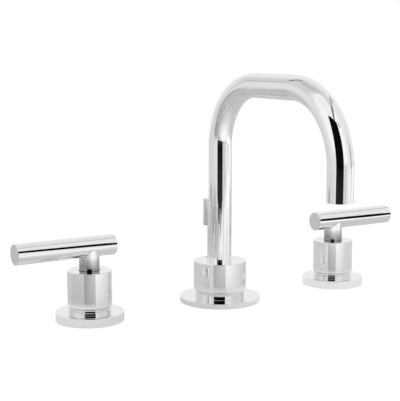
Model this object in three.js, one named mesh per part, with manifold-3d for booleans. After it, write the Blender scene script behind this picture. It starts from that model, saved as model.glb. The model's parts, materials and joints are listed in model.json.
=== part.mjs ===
// Widespread bathroom faucet: two lever valves beside an arched spout with a lift rod.
// Millimetres, +Z up. The origin lies on the deck plane at the spout's axis, +X runs towards
// the right handle and -Y towards the user.
import * as THREE from "three";
import { mergeVertices } from "three/addons/utils/BufferGeometryUtils.js";
import Module from "manifold-3d";

// Fits shared by all pieces
const seatGap = 0.3; // between two pieces that touch or run in each other
const cutOverrun = 1; // how far a cutting shape runs past the surface it cuts
const weldDistance = 1e-4; // vertices closer than this are one
const wideSides = 32; // facets of the hubs and escutcheons
const barSides = 20; // facets of the tube, bars, necks and knob
const plainSides = 16; // facets of the hidden rounds
const thinSides = 10; // facets of rods, screws and small holes
const ringSides = 6; // facets of an O-ring's section

// Deck and its clamping
const handleSpacing = 203.2; // between the two valve axes
const deckThickness = 20;
const deckWasherHeight = 3;
const clampWasherHeight = 1.5;
const mountingNutHeight = 8;

// Lever handle
const barRadius = 6.8;
const barReach = 51.7; // from the valve axis outwards
const barTail = 17.6; // from the valve axis towards the spout
const barBevel = 0.4;
const neckLength = 8.6; // between the hub's top and the bar's underside
const neckInset = 0.1; // of the neck's side behind the bar's
const neckSpigotWall = 0.7;
const neckScrewRadius = 2.5;
const neckScrewCover = 5.6; // of spigot above the screw's tip
const neckScrewHeadRadius = 4.2;
const neckScrewHeadHeight = 3.5;
const neckScrewSocket = 4; // across the flats
const neckScrewSocketDepth = 2;

// Handle hub
const hubHeight = 23.3;
const hubWall = 2;
const hubRoof = 3;
const hubBevel = 0.5;
const hubBossWall = 2.6;
const hubBossRise = 1; // of the boss above the cartridge housing
const setScrewRadius = 2;
const setScrewRise = 6; // of its axis above the boss's lower end
const setScrewRecess = 0.9; // of its end behind the hub's surface
const setScrewLugWall = 1.5;

// Handle escutcheon and gasket
const flangeMargin = 7.9; // beyond the hub
const flangeHeight = 5.8;
const flangeBevel = 0.5;
const collarWall = 1.7;
const collarHeight = 3.9; // above the flange
const grooveDepth = 0.6; // of the collar behind the hub's surface
const gasketInnerMargin = 2.3; // beyond the collar
const gasketOuterMargin = 1.5; // inside the flange's edge
const gasketHeight = 1.2;

// Valve body
const bodyWall = 2.7;
const bodyTopDrop = 1.2; // below the collar's top
const threadRunout = 2.9; // between the mounting nut and the block
const blockHeight = 20;
const blockMargin = 2; // beyond the thread
const seatThickness = 3; // between the block's lower end and the seat
const inletBoreRadius = 5.5;
const inletWall = 4.9;
const inletLength = 22; // below the block
const outletBoreRadius = 4.5;
const outletWall = 3.4;
const outletRise = 11; // of its axis above the block's lower end
const outletLength = 13; // beyond the block
const deckWasherMargin = 8; // beyond the thread
const clampWasherMargin = 7;
const mountingNutMargin = 4; // from the thread to the flats

// Ceramic cartridge
const housingThreadRadius = 9;
const skirtInset = 0.7; // behind the thread
const skirtRise = 6; // of the thread's lower end above the block
const skirtFoot = 1.5; // above the seat
const skirtWall = 0.9;
const housingHexMargin = 1; // from the thread to the flats
const housingHexHeight = 4.2;
const windowWidth = 7;
const windowHeight = 4;
const sealHeight = 3.2;
const sealWidth = 2.1;
const discThickness = 3.5;
const discRim = 2.5; // outside the ports
const discWebWidth = 3; // of the web between a disc's two ports
const driverHeight = 3;
const tangWidth = 3.4;
const tangDepth = 1.2;
const stemShaftRadius = 4.6;
const stemHeadInset = 0.5; // behind the shaft
const stemShoulderRise = 1; // above the housing
const stemTopDrop = 1.5; // below the neck screw's head
const adapterWall = 0.7;
const adapterRise = 1; // above the stem's shoulder
const stemRingDrop = 3.5; // of the O-ring below the valve body's top
const stemRingSection = 0.55; // radius of the rubber
const housingRingDrop = 12.5; // below the valve body's top
const housingRingSection = 0.6;

// Spout tube
const tubeRadius = 8.1;
const tubeWall = 1.7;
const archTop = 152.3; // of the tube's centreline above the deck
const spoutReach = 129.9; // from the spout's axis to the outlet's axis
const rearBendRadius = 42.3;
const frontBendRadius = 46.5;
const outletDrop = 19.7; // of the outlet below the front bend
const bendSteps = 8;

// Aerator in the outlet
const mouthWall = 1.2;
const aeratorRecess = 0.3;
const aeratorHeight = 9.4;
const aeratorWall = 1.2;
const aeratorLipWidth = 0.8;
const aeratorLipHeight = 0.8;
const aeratorHoleRadius = 0.8;
const aeratorHoleCircle = 3.2; // radius of the circle of holes
const aeratorHoleCount = 6;
const aeratorWasherHeight = 1.7;

// Spout hub, body and escutcheon
const spoutHubHeight = 20;
const spoutHubWall = 1.8;
const spoutCollarHeight = 4.9; // above the flange
const spoutCollarWall = 1.7;
const spoutGrooveDepth = 1.2; // of the collar behind the hub's surface
const spoutFlangeMargin = 9.7; // beyond the hub
const spoutFlangeHeight = 3.6;
const spoutGasketInnerMargin = 1; // beyond the collar
const spoutGasketOuterMargin = 2; // inside the flange's edge
const spoutBodyWall = 1.1; // outside the O-ring grooves
const spoutBodyFlangeHeight = 4;
const socketFloorThickness = 1.1; // above the body's flange
const tubeRingSection = 0.75;
const lowerTubeRingRise = 3.5; // above the socket's floor
const upperTubeRingDrop = 4; // below the body's top
const spoutScrewAngle = Math.PI / 4; // from +X towards the back
const spoutScrewRecess = 1.1; // of its end behind the hub's surface
const shankWall = 2.2;
const shankBoreRadius = 4.8;
const shankRunout = 26.9; // below the mounting nut
const spoutWasherMargin = 10.4; // beyond the lift rod's axis
const spoutClampWasherMargin = 8.4;
const spoutNutMargin = 2.5; // from the thread to the flats

// Tee below the spout
const teeWall = 3.2;
const teeSocketDepth = 12;
const teeBranchDrop = 10; // of the branches' axis below the shank
const teeFloorDrop = 20; // below the shank
const teeBranchLength = 17.5; // beyond the tee's side
const teeWasherHeight = 1.5;

// Lift rod
const rodRadius = 1.6;
const rodPassRadius = 2.2; // of the holes that it passes below the hub
const rodTail = 12; // below the tee
const rodShown = 23.2; // between the hub and the knob, with the rod pulled up
const knobClearance = 0.8; // from the tube
const knobHeight = 19;
const knobBevel = 0.4;
const knobSocketDepth = 13;
const guideWall = 0.6;
const guideHeight = 5;
const guideClearance = 0.6; // from the O-ring grooves of the spout body

// Finishes
const finish = (color, roughness, metalness) =>
  new THREE.MeshStandardMaterial({ color, roughness, metalness });
const chrome = () => finish(0xdfe2e5, 0.04, 1);
const brass = () => finish(0xc9a24e, 0.32, 1);
const steel = () => finish(0xa8abae, 0.3, 1);
const rubber = () => finish(0x1b1b1c, 0.85, 0);
const ceramic = () => finish(0xeeeae2, 0.25, 0);
const nylon = () => finish(0xe9e9e6, 0.5, 0);

const wasm = await Module();
wasm.setup();

// A closed geometry as a solid for joining and cutting.
function solidOf(geometry) {
  const bare = geometry.clone();
  bare.deleteAttribute("normal");
  bare.deleteAttribute("uv");
  const merged = mergeVertices(bare, weldDistance);
  const vertProperties = merged.attributes.position.array;
  const triVerts = new Uint32Array(merged.index.array);
  return new wasm.Manifold(new wasm.Mesh({ numProp: 3, vertProperties, triVerts }));
}

// The geometry of such a solid.
function geometryOf(solid) {
  const { vertProperties, triVerts } = solid.getMesh();
  const geometry = new THREE.BufferGeometry();
  geometry.setAttribute("position", new THREE.BufferAttribute(vertProperties, 3));
  geometry.setIndex(new THREE.BufferAttribute(triVerts, 1));
  geometry.computeVertexNormals();
  return geometry;
}

const join = (first, ...others) =>
  geometryOf(others.reduce((sum, other) => sum.add(solidOf(other)), solidOf(first)));
const cut = (base, ...tools) =>
  geometryOf(tools.reduce((rest, tool) => rest.subtract(solidOf(tool)), solidOf(base)));

// A ring or rod turned about +Z from [radius, height] corners, listed anticlockwise. They start
// and end on the axis, or start off it and close on themselves.
function turned(corners, sides) {
  const outline = corners.map(([radius, height]) => new THREE.Vector2(radius, height));
  if (corners[0][0] > 0) outline.push(outline[0].clone());
  return new THREE.LatheGeometry(outline, sides).rotateX(Math.PI / 2);
}

// A plain rod or, with an inner radius, a plain ring.
function drum(radius, bottom, top, sides, innerRadius = 0) {
  return turned(
    [
      [innerRadius, bottom],
      [radius, bottom],
      [radius, top],
      [innerRadius, top],
    ],
    sides,
  );
}

// An O-ring lying level: ring radius is that of the rubber's centre line.
function oRing(ringRadius, section, height) {
  const corners = [];
  for (let i = 0; i < ringSides; i += 1) {
    const angle = (2 * Math.PI * i) / ringSides;
    corners.push([ringRadius + section * Math.cos(angle), height + section * Math.sin(angle)]);
  }
  return turned(corners, plainSides);
}

const circlePoints = (radius, sides) =>
  Array.from({ length: sides }, (_, i) => {
    const angle = (2 * Math.PI * i) / sides;
    return new THREE.Vector2(radius * Math.cos(angle), radius * Math.sin(angle));
  });

// A hexagonal ring, its flats a given distance apart.
function hexRing(flats, bottom, top, innerRadius) {
  const shape = new THREE.Shape(circlePoints(flats / Math.sqrt(3), 6));
  if (innerRadius > 0) shape.holes.push(new THREE.Path(circlePoints(innerRadius, plainSides)));
  const geometry = new THREE.ExtrudeGeometry(shape, { depth: top - bottom, bevelEnabled: false });
  return geometry.translate(0, 0, bottom);
}

// A block from its lowest and highest corners.
function block(low, high) {
  const [width, depth, height] = high.map((value, i) => value - low[i]);
  const [x, y, z] = high.map((value, i) => (value + low[i]) / 2);
  return new THREE.BoxGeometry(width, depth, height).translate(x, y, z);
}

// A rod between two distances from the Z axis, level at the given height, turned by an angle from +X.
function spoke(radius, from, to, height, angle, sides = thinSides) {
  return drum(radius, from, to, sides).rotateY(Math.PI / 2).rotateZ(angle).translate(0, 0, height);
}

// A mesh named as its piece.
function piece(name, geometry, material) {
  const mesh = new THREE.Mesh(geometry, material);
  mesh.name = name;
  return mesh;
}

// Heights of the stack that clamps the deck from below
const deckWasherTop = -deckThickness;
const deckWasherBottom = deckWasherTop - deckWasherHeight;
const clampWasherTop = deckWasherBottom - seatGap;
const clampWasherBottom = clampWasherTop - clampWasherHeight;
const nutTop = clampWasherBottom - seatGap;
const nutBottom = nutTop - mountingNutHeight;

// Radii of the handle valve, from the cartridge outwards
const bodyCavityRadius = housingThreadRadius + seatGap;
const bodyThreadRadius = bodyCavityRadius + bodyWall;
const bodyFit = bodyThreadRadius + seatGap;
const bodyBlockRadius = bodyThreadRadius + blockMargin;
const inletThreadRadius = inletBoreRadius + inletWall;
const outletThreadRadius = outletBoreRadius + outletWall;
const collarRadius = bodyFit + collarWall;
const hubRadius = collarRadius + grooveDepth;
const flangeRadius = hubRadius + flangeMargin;
const gasketInner = collarRadius + gasketInnerMargin;
const gasketOuter = flangeRadius - gasketOuterMargin;
const skirtRadius = housingThreadRadius - skirtInset;
const chamberRadius = skirtRadius - skirtWall;
const chamberFitRadius = chamberRadius - seatGap;
const discPortRadius = chamberFitRadius - discRim;
const shaftBoreRadius = stemShaftRadius + seatGap;
const stemHeadRadius = stemShaftRadius - stemHeadInset;
const adapterBoreRadius = stemHeadRadius + seatGap;
const adapterRadius = adapterBoreRadius + adapterWall;
const hubBoreRadius = adapterRadius + seatGap;
const hubBossRadius = hubBoreRadius + hubBossWall;
const neckRadius = barRadius - neckInset;
const neckScrewHoleRadius = neckScrewRadius + seatGap;
const neckSpigotRadius = neckScrewHoleRadius + neckSpigotWall;
const setScrewHoleRadius = setScrewRadius + seatGap;
const setScrewLugRadius = setScrewHoleRadius + setScrewLugWall;

// Heights of the handle, from the deck upwards
const collarTop = flangeHeight + collarHeight;
const hubBottom = collarTop + seatGap;
const hubTop = hubBottom + hubHeight;
const hubRoofUnderside = hubTop - hubRoof;
const barAxisHeight = hubTop + neckLength + barRadius;
const neckBottom = hubTop + seatGap;
const neckScrewHeadTop = hubRoofUnderside - seatGap;
const neckScrewHeadBottom = neckScrewHeadTop - neckScrewHeadHeight;
const neckScrewTip = barAxisHeight - neckScrewCover;

// Heights of the valve body, from the nut downwards
const bodyTop = collarTop - bodyTopDrop;
const bodyBlockTop = nutBottom - threadRunout;
const bodyBlockBottom = bodyBlockTop - blockHeight;
const bodySeatHeight = bodyBlockBottom + seatThickness;
const outletHeight = bodyBlockBottom + outletRise;
const inletBottom = bodyBlockBottom - inletLength;

// Heights inside the cartridge, from the valve body's seat upwards
const sealBottom = bodySeatHeight + seatGap;
const sealTop = sealBottom + sealHeight;
const fixedDiscBottom = sealTop + seatGap;
const fixedDiscTop = fixedDiscBottom + discThickness;
const rotatingDiscBottom = fixedDiscTop + seatGap;
const rotatingDiscTop = rotatingDiscBottom + discThickness;
const driverBottom = rotatingDiscTop + seatGap;
const driverTop = driverBottom + driverHeight;
const chamberTop = driverTop + seatGap;
const skirtBottom = bodySeatHeight + skirtFoot;
const skirtTop = bodyBlockTop + skirtRise;
const housingRingHeight = bodyTop - housingRingDrop;
const stemRingHeight = bodyTop - stemRingDrop;
const housingHexBottom = bodyTop + seatGap;
const housingTop = housingHexBottom + housingHexHeight;
const stemShoulderHeight = housingTop + stemShoulderRise;
const stemTop = neckScrewHeadBottom - stemTopDrop;
const hubBossBottom = housingTop + hubBossRise;
const setScrewHeight = hubBossBottom + setScrewRise;

// The lever bar, with a blind hole in its underside for the neck's spigot.
function leverBar(side) {
  const bar = turned(
    [
      [0, -barTail],
      [barRadius - barBevel, -barTail],
      [barRadius, barBevel - barTail],
      [barRadius, barReach - barBevel],
      [barRadius - barBevel, barReach],
      [0, barReach],
    ],
    barSides,
  );
  bar.rotateY((side * Math.PI) / 2).translate(0, 0, barAxisHeight);
  const holeRadius = neckSpigotRadius + seatGap;
  const holeStart = barAxisHeight - barRadius - cutOverrun;
  return cut(bar, drum(holeRadius, holeStart, barAxisHeight + seatGap, barSides));
}

// The neck: its top is saddled to the bar, with a spigot up into it and a tapped hole from below.
function leverNeck() {
  const post = drum(neckRadius, neckBottom, barAxisHeight, barSides);
  const saddle = drum(barRadius + seatGap, -neckRadius - cutOverrun, neckRadius + cutOverrun, barSides);
  saddle.rotateY(Math.PI / 2).translate(0, 0, barAxisHeight);
  const spigot = drum(neckSpigotRadius, neckBottom + cutOverrun, barAxisHeight, barSides);
  const tapping = drum(neckScrewHoleRadius, neckBottom - cutOverrun, neckScrewTip + seatGap, thinSides);
  return cut(join(cut(post, saddle), spigot), tapping);
}

// The socket head screw that holds the neck on the hub's roof.
function neckScrew() {
  const screw = turned(
    [
      [0, neckScrewHeadBottom],
      [neckScrewHeadRadius, neckScrewHeadBottom],
      [neckScrewHeadRadius, neckScrewHeadTop],
      [neckScrewRadius, neckScrewHeadTop],
      [neckScrewRadius, neckScrewTip],
      [0, neckScrewTip],
    ],
    thinSides,
  );
  const socketStart = neckScrewHeadBottom - cutOverrun;
  const socketEnd = neckScrewHeadBottom + neckScrewSocketDepth;
  return cut(screw, hexRing(neckScrewSocket, socketStart, socketEnd, 0));
}

// The turning hub: a cap with a boss for the stem and a lug for the set screw at the back.
function handleHub() {
  const cavityRadius = hubRadius - hubWall;
  const cap = turned(
    [
      [cavityRadius, hubBottom],
      [hubRadius, hubBottom],
      [hubRadius, hubTop - hubBevel],
      [hubRadius - hubBevel, hubTop],
      [neckScrewHoleRadius, hubTop],
      [neckScrewHoleRadius, hubRoofUnderside],
      [hubBoreRadius, hubRoofUnderside],
      [hubBoreRadius, hubBossBottom],
      [hubBossRadius, hubBossBottom],
      [hubBossRadius, hubRoofUnderside],
      [cavityRadius, hubRoofUnderside],
    ],
    wideSides,
  );
  const back = Math.PI / 2;
  const lugStart = (hubBoreRadius + hubBossRadius) / 2;
  const lug = spoke(setScrewLugRadius, lugStart, hubRadius - hubWall / 2, setScrewHeight, back);
  const hole = spoke(setScrewHoleRadius, 0, hubRadius + cutOverrun, setScrewHeight, back);
  return cut(join(cap, lug), hole);
}

const hubSetScrew = () =>
  spoke(setScrewRadius, hubBoreRadius, hubRadius - setScrewRecess, setScrewHeight, Math.PI / 2);

// The plastic sleeve between the stem's head and the hub's boss.
const stemAdapter = () =>
  drum(adapterRadius, stemShoulderHeight + adapterRise, stemTop, plainSides, adapterBoreRadius);

// The stem: driver and tang below, shaft with an O-ring groove, splined head above.
function cartridgeStem() {
  const grooveRadius = stemShaftRadius - 2 * stemRingSection - seatGap;
  const grooveHalf = stemRingSection + seatGap;
  const stem = turned(
    [
      [0, driverBottom],
      [chamberFitRadius, driverBottom],
      [chamberFitRadius, driverTop],
      [stemShaftRadius, driverTop],
      [stemShaftRadius, stemRingHeight - grooveHalf],
      [grooveRadius, stemRingHeight - grooveHalf],
      [grooveRadius, stemRingHeight + grooveHalf],
      [stemShaftRadius, stemRingHeight + grooveHalf],
      [stemShaftRadius, stemShoulderHeight],
      [stemHeadRadius, stemShoulderHeight],
      [stemHeadRadius, stemTop],
      [0, stemTop],
    ],
    plainSides,
  );
  const tangReach = chamberFitRadius * Math.SQRT1_2;
  const tang = block(
    [-tangReach, -tangWidth / 2, driverBottom - tangDepth],
    [tangReach, tangWidth / 2, driverTop],
  );
  return join(stem, tang);
}

const stemORing = () => oRing(stemShaftRadius - stemRingSection, stemRingSection, stemRingHeight);

// A ceramic disc with two quarter-round ports on opposite sides of a web.
function ceramicDisc(bottom, top) {
  const ports = cut(
    drum(discPortRadius, bottom - cutOverrun, top + cutOverrun, plainSides),
    block(
      [-discPortRadius - cutOverrun, -discWebWidth / 2, bottom - 2 * cutOverrun],
      [discPortRadius + cutOverrun, discWebWidth / 2, top + 2 * cutOverrun],
    ),
    block(
      [-discWebWidth / 2, -discPortRadius - cutOverrun, bottom - 2 * cutOverrun],
      [discPortRadius + cutOverrun, 0, top + 2 * cutOverrun],
    ),
    block(
      [-discPortRadius - cutOverrun, 0, bottom - 2 * cutOverrun],
      [discWebWidth / 2, discPortRadius + cutOverrun, top + 2 * cutOverrun],
    ),
  );
  return cut(drum(chamberFitRadius, bottom, top, plainSides), ports);
}

// The upper disc is a quarter turn from the lower one when the valve is shut, and has the slot
// for the stem's tang.
function rotatingDisc() {
  const slotHalf = tangWidth / 2 + seatGap;
  const slot = block(
    [-chamberRadius, -slotHalf, driverBottom - tangDepth - seatGap],
    [chamberRadius, slotHalf, rotatingDiscTop + cutOverrun],
  );
  return cut(ceramicDisc(rotatingDiscBottom, rotatingDiscTop).rotateZ(Math.PI / 2), slot);
}

const fixedDisc = () => ceramicDisc(fixedDiscBottom, fixedDiscTop);

const seatSeal = () =>
  drum(chamberFitRadius, sealBottom, sealTop, plainSides, chamberFitRadius - sealWidth);

const housingRingRadius = bodyCavityRadius - seatGap - housingRingSection;

// The cartridge's housing: skirt with two water windows, O-ring groove, hex collar.
function cartridgeHousing() {
  const grooveRadius = housingRingRadius - housingRingSection - seatGap;
  const grooveHalf = housingRingSection + seatGap;
  const sleeve = turned(
    [
      [chamberRadius, skirtBottom],
      [skirtRadius, skirtBottom],
      [skirtRadius, skirtTop],
      [housingThreadRadius, skirtTop],
      [housingThreadRadius, housingRingHeight - grooveHalf],
      [grooveRadius, housingRingHeight - grooveHalf],
      [grooveRadius, housingRingHeight + grooveHalf],
      [housingThreadRadius, housingRingHeight + grooveHalf],
      [housingThreadRadius, housingTop],
      [shaftBoreRadius, housingTop],
      [shaftBoreRadius, chamberTop],
      [chamberRadius, chamberTop],
    ],
    plainSides,
  );
  const collar = hexRing(
    2 * (housingThreadRadius + housingHexMargin),
    housingHexBottom,
    housingTop,
    (shaftBoreRadius + housingThreadRadius) / 2,
  );
  const windows = block(
    [-housingThreadRadius, -windowWidth / 2, driverTop - windowHeight],
    [housingThreadRadius, windowWidth / 2, driverTop],
  );
  return cut(join(sleeve, collar), windows);
}

const housingORing = () => oRing(housingRingRadius, housingRingSection, housingRingHeight);

// The valve body: threaded barrel, block with the side outlet, supply inlet below.
function valveBody(side) {
  const barrel = turned(
    [
      [inletBoreRadius, inletBottom],
      [inletThreadRadius, inletBottom],
      [inletThreadRadius, bodyBlockBottom],
      [bodyBlockRadius, bodyBlockBottom],
      [bodyBlockRadius, bodyBlockTop],
      [bodyThreadRadius, bodyBlockTop],
      [bodyThreadRadius, bodyTop],
      [bodyCavityRadius, bodyTop],
      [bodyCavityRadius, bodySeatHeight],
      [inletBoreRadius, bodySeatHeight],
    ],
    plainSides,
  );
  const inwards = side > 0 ? Math.PI : 0;
  const stubStart = (bodyCavityRadius + bodyBlockRadius) / 2;
  const stubEnd = bodyBlockRadius + outletLength;
  const stub = spoke(outletThreadRadius, stubStart, stubEnd, outletHeight, inwards, plainSides);
  const bore = spoke(outletBoreRadius, 0, stubEnd + cutOverrun, outletHeight, inwards);
  return cut(join(barrel, stub), bore);
}

// The escutcheon: flange and collar in one, threaded inside, with a recess for its gasket.
function escutcheon() {
  const recessDepth = gasketHeight + seatGap;
  return turned(
    [
      [bodyFit, 0],
      [gasketInner - seatGap, 0],
      [gasketInner - seatGap, recessDepth],
      [gasketOuter + seatGap, recessDepth],
      [gasketOuter + seatGap, 0],
      [flangeRadius, 0],
      [flangeRadius, flangeHeight - flangeBevel],
      [flangeRadius - flangeBevel, flangeHeight],
      [collarRadius, flangeHeight],
      [collarRadius, collarTop],
      [bodyFit, collarTop],
    ],
    wideSides,
  );
}

// All pieces of one handle valve: side is -1 for the left one and 1 for the right one.
function handleValve(side) {
  const hand = side < 0 ? "left" : "right";
  const deckWasherOuter = bodyThreadRadius + deckWasherMargin;
  const clampWasherOuter = bodyThreadRadius + clampWasherMargin;
  const nutFlats = 2 * (bodyThreadRadius + mountingNutMargin);
  const group = new THREE.Group();
  group.add(
    piece(`${hand}_lever_bar`, leverBar(side), chrome()),
    piece(`${hand}_lever_neck`, leverNeck(), chrome()),
    piece(`${hand}_neck_screw`, neckScrew(), steel()),
    piece(`${hand}_hub`, handleHub(), chrome()),
    piece(`${hand}_hub_set_screw`, hubSetScrew(), steel()),
    piece(`${hand}_stem_adapter`, stemAdapter(), nylon()),
    piece(`${hand}_cartridge_stem`, cartridgeStem(), brass()),
    piece(`${hand}_stem_o_ring`, stemORing(), rubber()),
    piece(`${hand}_rotating_disc`, rotatingDisc(), ceramic()),
    piece(`${hand}_fixed_disc`, fixedDisc(), ceramic()),
    piece(`${hand}_seat_seal`, seatSeal(), rubber()),
    piece(`${hand}_cartridge_housing`, cartridgeHousing(), brass()),
    piece(`${hand}_housing_o_ring`, housingORing(), rubber()),
    piece(`${hand}_valve_body`, valveBody(side), brass()),
    piece(`${hand}_escutcheon`, escutcheon(), chrome()),
    piece(
      `${hand}_escutcheon_gasket`,
      drum(gasketOuter, 0, gasketHeight, wideSides, gasketInner),
      rubber(),
    ),
    piece(
      `${hand}_deck_washer`,
      drum(deckWasherOuter, deckWasherBottom, deckWasherTop, plainSides, bodyFit),
      rubber(),
    ),
    piece(
      `${hand}_clamp_washer`,
      drum(clampWasherOuter, clampWasherBottom, clampWasherTop, plainSides, bodyFit),
      steel(),
    ),
    piece(`${hand}_mounting_nut`, hexRing(nutFlats, nutBottom, nutTop, bodyFit), brass()),
  );
  group.position.x = (side * handleSpacing) / 2;
  return group;
}

// Radii of the spout, from its tube outwards
const tubeBoreRadius = tubeRadius - tubeWall;
const socketRadius = tubeRadius + seatGap;
const tubeRingRadius = socketRadius + tubeRingSection;
const ringGrooveRadius = tubeRingRadius + tubeRingSection + seatGap;
const spoutBodyRadius = ringGrooveRadius + spoutBodyWall;
const guideRadius = rodRadius + seatGap + guideWall;
const rodOffset = ringGrooveRadius + guideClearance + seatGap + guideRadius; // behind the spout's axis
const knobRadius = rodOffset - tubeRadius - knobClearance;
const spoutHubRadius = rodOffset + guideRadius + 2 * seatGap + spoutHubWall;
const spoutCollarRadius = spoutHubRadius - spoutGrooveDepth;
const collarInner = spoutCollarRadius - spoutCollarWall;
const spoutFlangeRadius = spoutHubRadius + spoutFlangeMargin;
const spoutGasketInner = spoutCollarRadius + spoutGasketInnerMargin;
const spoutGasketOuter = spoutFlangeRadius - spoutGasketOuterMargin;
const shankRadius = shankBoreRadius + shankWall;
const shankFit = shankRadius + seatGap;
const teeRadius = shankFit + teeWall;

// Heights of the spout's foot, from the deck upwards
const spoutCollarTop = spoutFlangeHeight + spoutCollarHeight;
const spoutHubBottom = spoutCollarTop + seatGap;
const spoutHubTop = spoutHubBottom + spoutHubHeight;
const spoutRoofUnderside = spoutHubTop - hubRoof;
const spoutBodyTop = spoutRoofUnderside - seatGap;
const spoutBodyBottom = spoutFlangeHeight + seatGap;
const spoutBodyFlangeTop = spoutBodyBottom + spoutBodyFlangeHeight;
const socketFloor = spoutBodyFlangeTop + socketFloorThickness;
const tubeFoot = socketFloor + seatGap;
const lowerTubeRingHeight = socketFloor + lowerTubeRingRise;
const upperTubeRingHeight = spoutBodyTop - upperTubeRingDrop;
const spoutScrewHeight = (lowerTubeRingHeight + upperTubeRingHeight) / 2;
const guideTop = spoutHubTop - seatGap;
const guideBottom = guideTop - guideHeight;
const knobBottom = spoutHubTop + rodShown;

// Heights below the deck, from the nut downwards
const shankBottom = nutBottom - shankRunout;
const teeTop = shankBottom + teeSocketDepth;
const teeBranchHeight = shankBottom - teeBranchDrop;
const teeBottom = shankBottom - teeFloorDrop;

// The outlet and its aerator
const outletEndHeight = archTop - frontBendRadius - outletDrop;
const mouthRadius = tubeRadius - mouthWall;
const mouthDepth = aeratorRecess + aeratorHeight + aeratorWasherHeight + 2 * seatGap;
const aeratorRadius = mouthRadius - seatGap;
const aeratorBoreRadius = aeratorRadius - aeratorWall;
const aeratorLipRadius = aeratorBoreRadius - aeratorLipWidth;
const aeratorBottom = outletEndHeight + aeratorRecess;
const aeratorTop = aeratorBottom + aeratorHeight;

// The spout's centreline: up, back bend, level run, front bend, down to the outlet.
// Each straight run takes one step and each bend an equal share of the others.
class ArchPath extends THREE.Curve {
  getPoint(t, target = new THREE.Vector3()) {
    const step = t * (3 + 2 * bendSteps);
    const runStart = 1 + bendSteps;
    const downStart = 2 + 2 * bendSteps;
    const rearBendHeight = archTop - rearBendRadius;
    const frontBendHeight = archTop - frontBendRadius;
    const frontBendPlace = spoutReach - frontBendRadius;
    if (step < 1) {
      return target.set(0, 0, THREE.MathUtils.lerp(tubeFoot, rearBendHeight, step));
    }
    if (step < runStart) {
      const angle = ((step - 1) / bendSteps) * (Math.PI / 2);
      const forward = rearBendRadius * (1 - Math.cos(angle));
      return target.set(0, -forward, rearBendHeight + rearBendRadius * Math.sin(angle));
    }
    if (step < runStart + 1) {
      const forward = THREE.MathUtils.lerp(rearBendRadius, frontBendPlace, step - runStart);
      return target.set(0, -forward, archTop);
    }
    if (step < downStart) {
      const angle = ((step - runStart - 1) / bendSteps) * (Math.PI / 2);
      const forward = frontBendPlace + frontBendRadius * Math.sin(angle);
      return target.set(0, -forward, frontBendHeight + frontBendRadius * Math.cos(angle));
    }
    const height = THREE.MathUtils.lerp(frontBendHeight, outletEndHeight, step - downStart);
    return target.set(0, -spoutReach, height);
  }

  // Steps are spaced as above instead of by length.
  getUtoTmapping(u) {
    return u;
  }
}

// The bent tube, with a wider mouth for the aerator.
function spoutTube() {
  const section = new THREE.Shape(circlePoints(tubeRadius, barSides));
  section.holes.push(new THREE.Path(circlePoints(tubeBoreRadius, barSides)));
  const tube = new THREE.ExtrudeGeometry(section, {
    extrudePath: new ArchPath(),
    steps: 3 + 2 * bendSteps,
  });
  const mouth = drum(mouthRadius, outletEndHeight - cutOverrun, outletEndHeight + mouthDepth, barSides);
  return cut(tube, mouth.translate(0, -spoutReach, 0));
}

// The aerator's shell, with a lip below that carries the insert.
function aeratorHousing() {
  const lipTop = aeratorBottom + aeratorLipHeight;
  const shell = turned(
    [
      [aeratorLipRadius, aeratorBottom],
      [aeratorRadius, aeratorBottom],
      [aeratorRadius, aeratorTop],
      [aeratorBoreRadius, aeratorTop],
      [aeratorBoreRadius, lipTop],
      [aeratorLipRadius, lipTop],
    ],
    plainSides,
  );
  return shell.translate(0, -spoutReach, 0);
}

// The flow insert: one hole in the middle and a circle of holes round it.
function aeratorInsert() {
  const bottom = aeratorBottom + aeratorLipHeight + seatGap;
  const core = drum(aeratorBoreRadius - seatGap, bottom, aeratorTop, plainSides);
  const hole = () => drum(aeratorHoleRadius, bottom - cutOverrun, aeratorTop + cutOverrun, ringSides);
  const holes = [hole()];
  for (let i = 0; i < aeratorHoleCount; i += 1) {
    const angle = (2 * Math.PI * i) / aeratorHoleCount;
    const across = aeratorHoleCircle * Math.cos(angle);
    const along = aeratorHoleCircle * Math.sin(angle);
    holes.push(hole().translate(across, along, 0));
  }
  return cut(core, ...holes).translate(0, -spoutReach, 0);
}

function aeratorWasher() {
  const bottom = aeratorTop + seatGap;
  const washer = drum(aeratorRadius, bottom, bottom + aeratorWasherHeight, plainSides, aeratorLipRadius);
  return washer.translate(0, -spoutReach, 0);
}

// A hole for the lift rod through everything between two heights.
const rodHole = (radius, bottom, top) =>
  drum(radius, bottom - cutOverrun, top + cutOverrun, thinSides).translate(0, rodOffset, 0);

// The sleeve that guides the lift rod through the hub's roof.
function rodGuide() {
  const sleeve = drum(guideRadius, guideBottom, guideTop, thinSides, rodRadius + seatGap);
  return sleeve.translate(0, rodOffset, 0);
}

// The fixed hub round the tube's foot, with a lug for its set screw.
function spoutHub() {
  const cavityRadius = spoutHubRadius - spoutHubWall;
  const cap = turned(
    [
      [cavityRadius, spoutHubBottom],
      [spoutHubRadius, spoutHubBottom],
      [spoutHubRadius, spoutHubTop - hubBevel],
      [spoutHubRadius - hubBevel, spoutHubTop],
      [socketRadius, spoutHubTop],
      [socketRadius, spoutRoofUnderside],
      [cavityRadius, spoutRoofUnderside],
    ],
    wideSides,
  );
  const lugStart = spoutBodyRadius + seatGap;
  const lugEnd = spoutHubRadius - spoutHubWall / 2;
  const lug = spoke(setScrewLugRadius, lugStart, lugEnd, spoutScrewHeight, spoutScrewAngle);
  const holeEnd = spoutHubRadius + cutOverrun;
  const hole = spoke(setScrewHoleRadius, 0, holeEnd, spoutScrewHeight, spoutScrewAngle);
  return cut(join(cap, lug), hole, rodHole(guideRadius + seatGap, guideBottom, spoutHubTop));
}

// One of the two O-rings round the tube's foot.
const tubeORing = (height) => oRing(tubeRingRadius, tubeRingSection, height);

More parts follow.
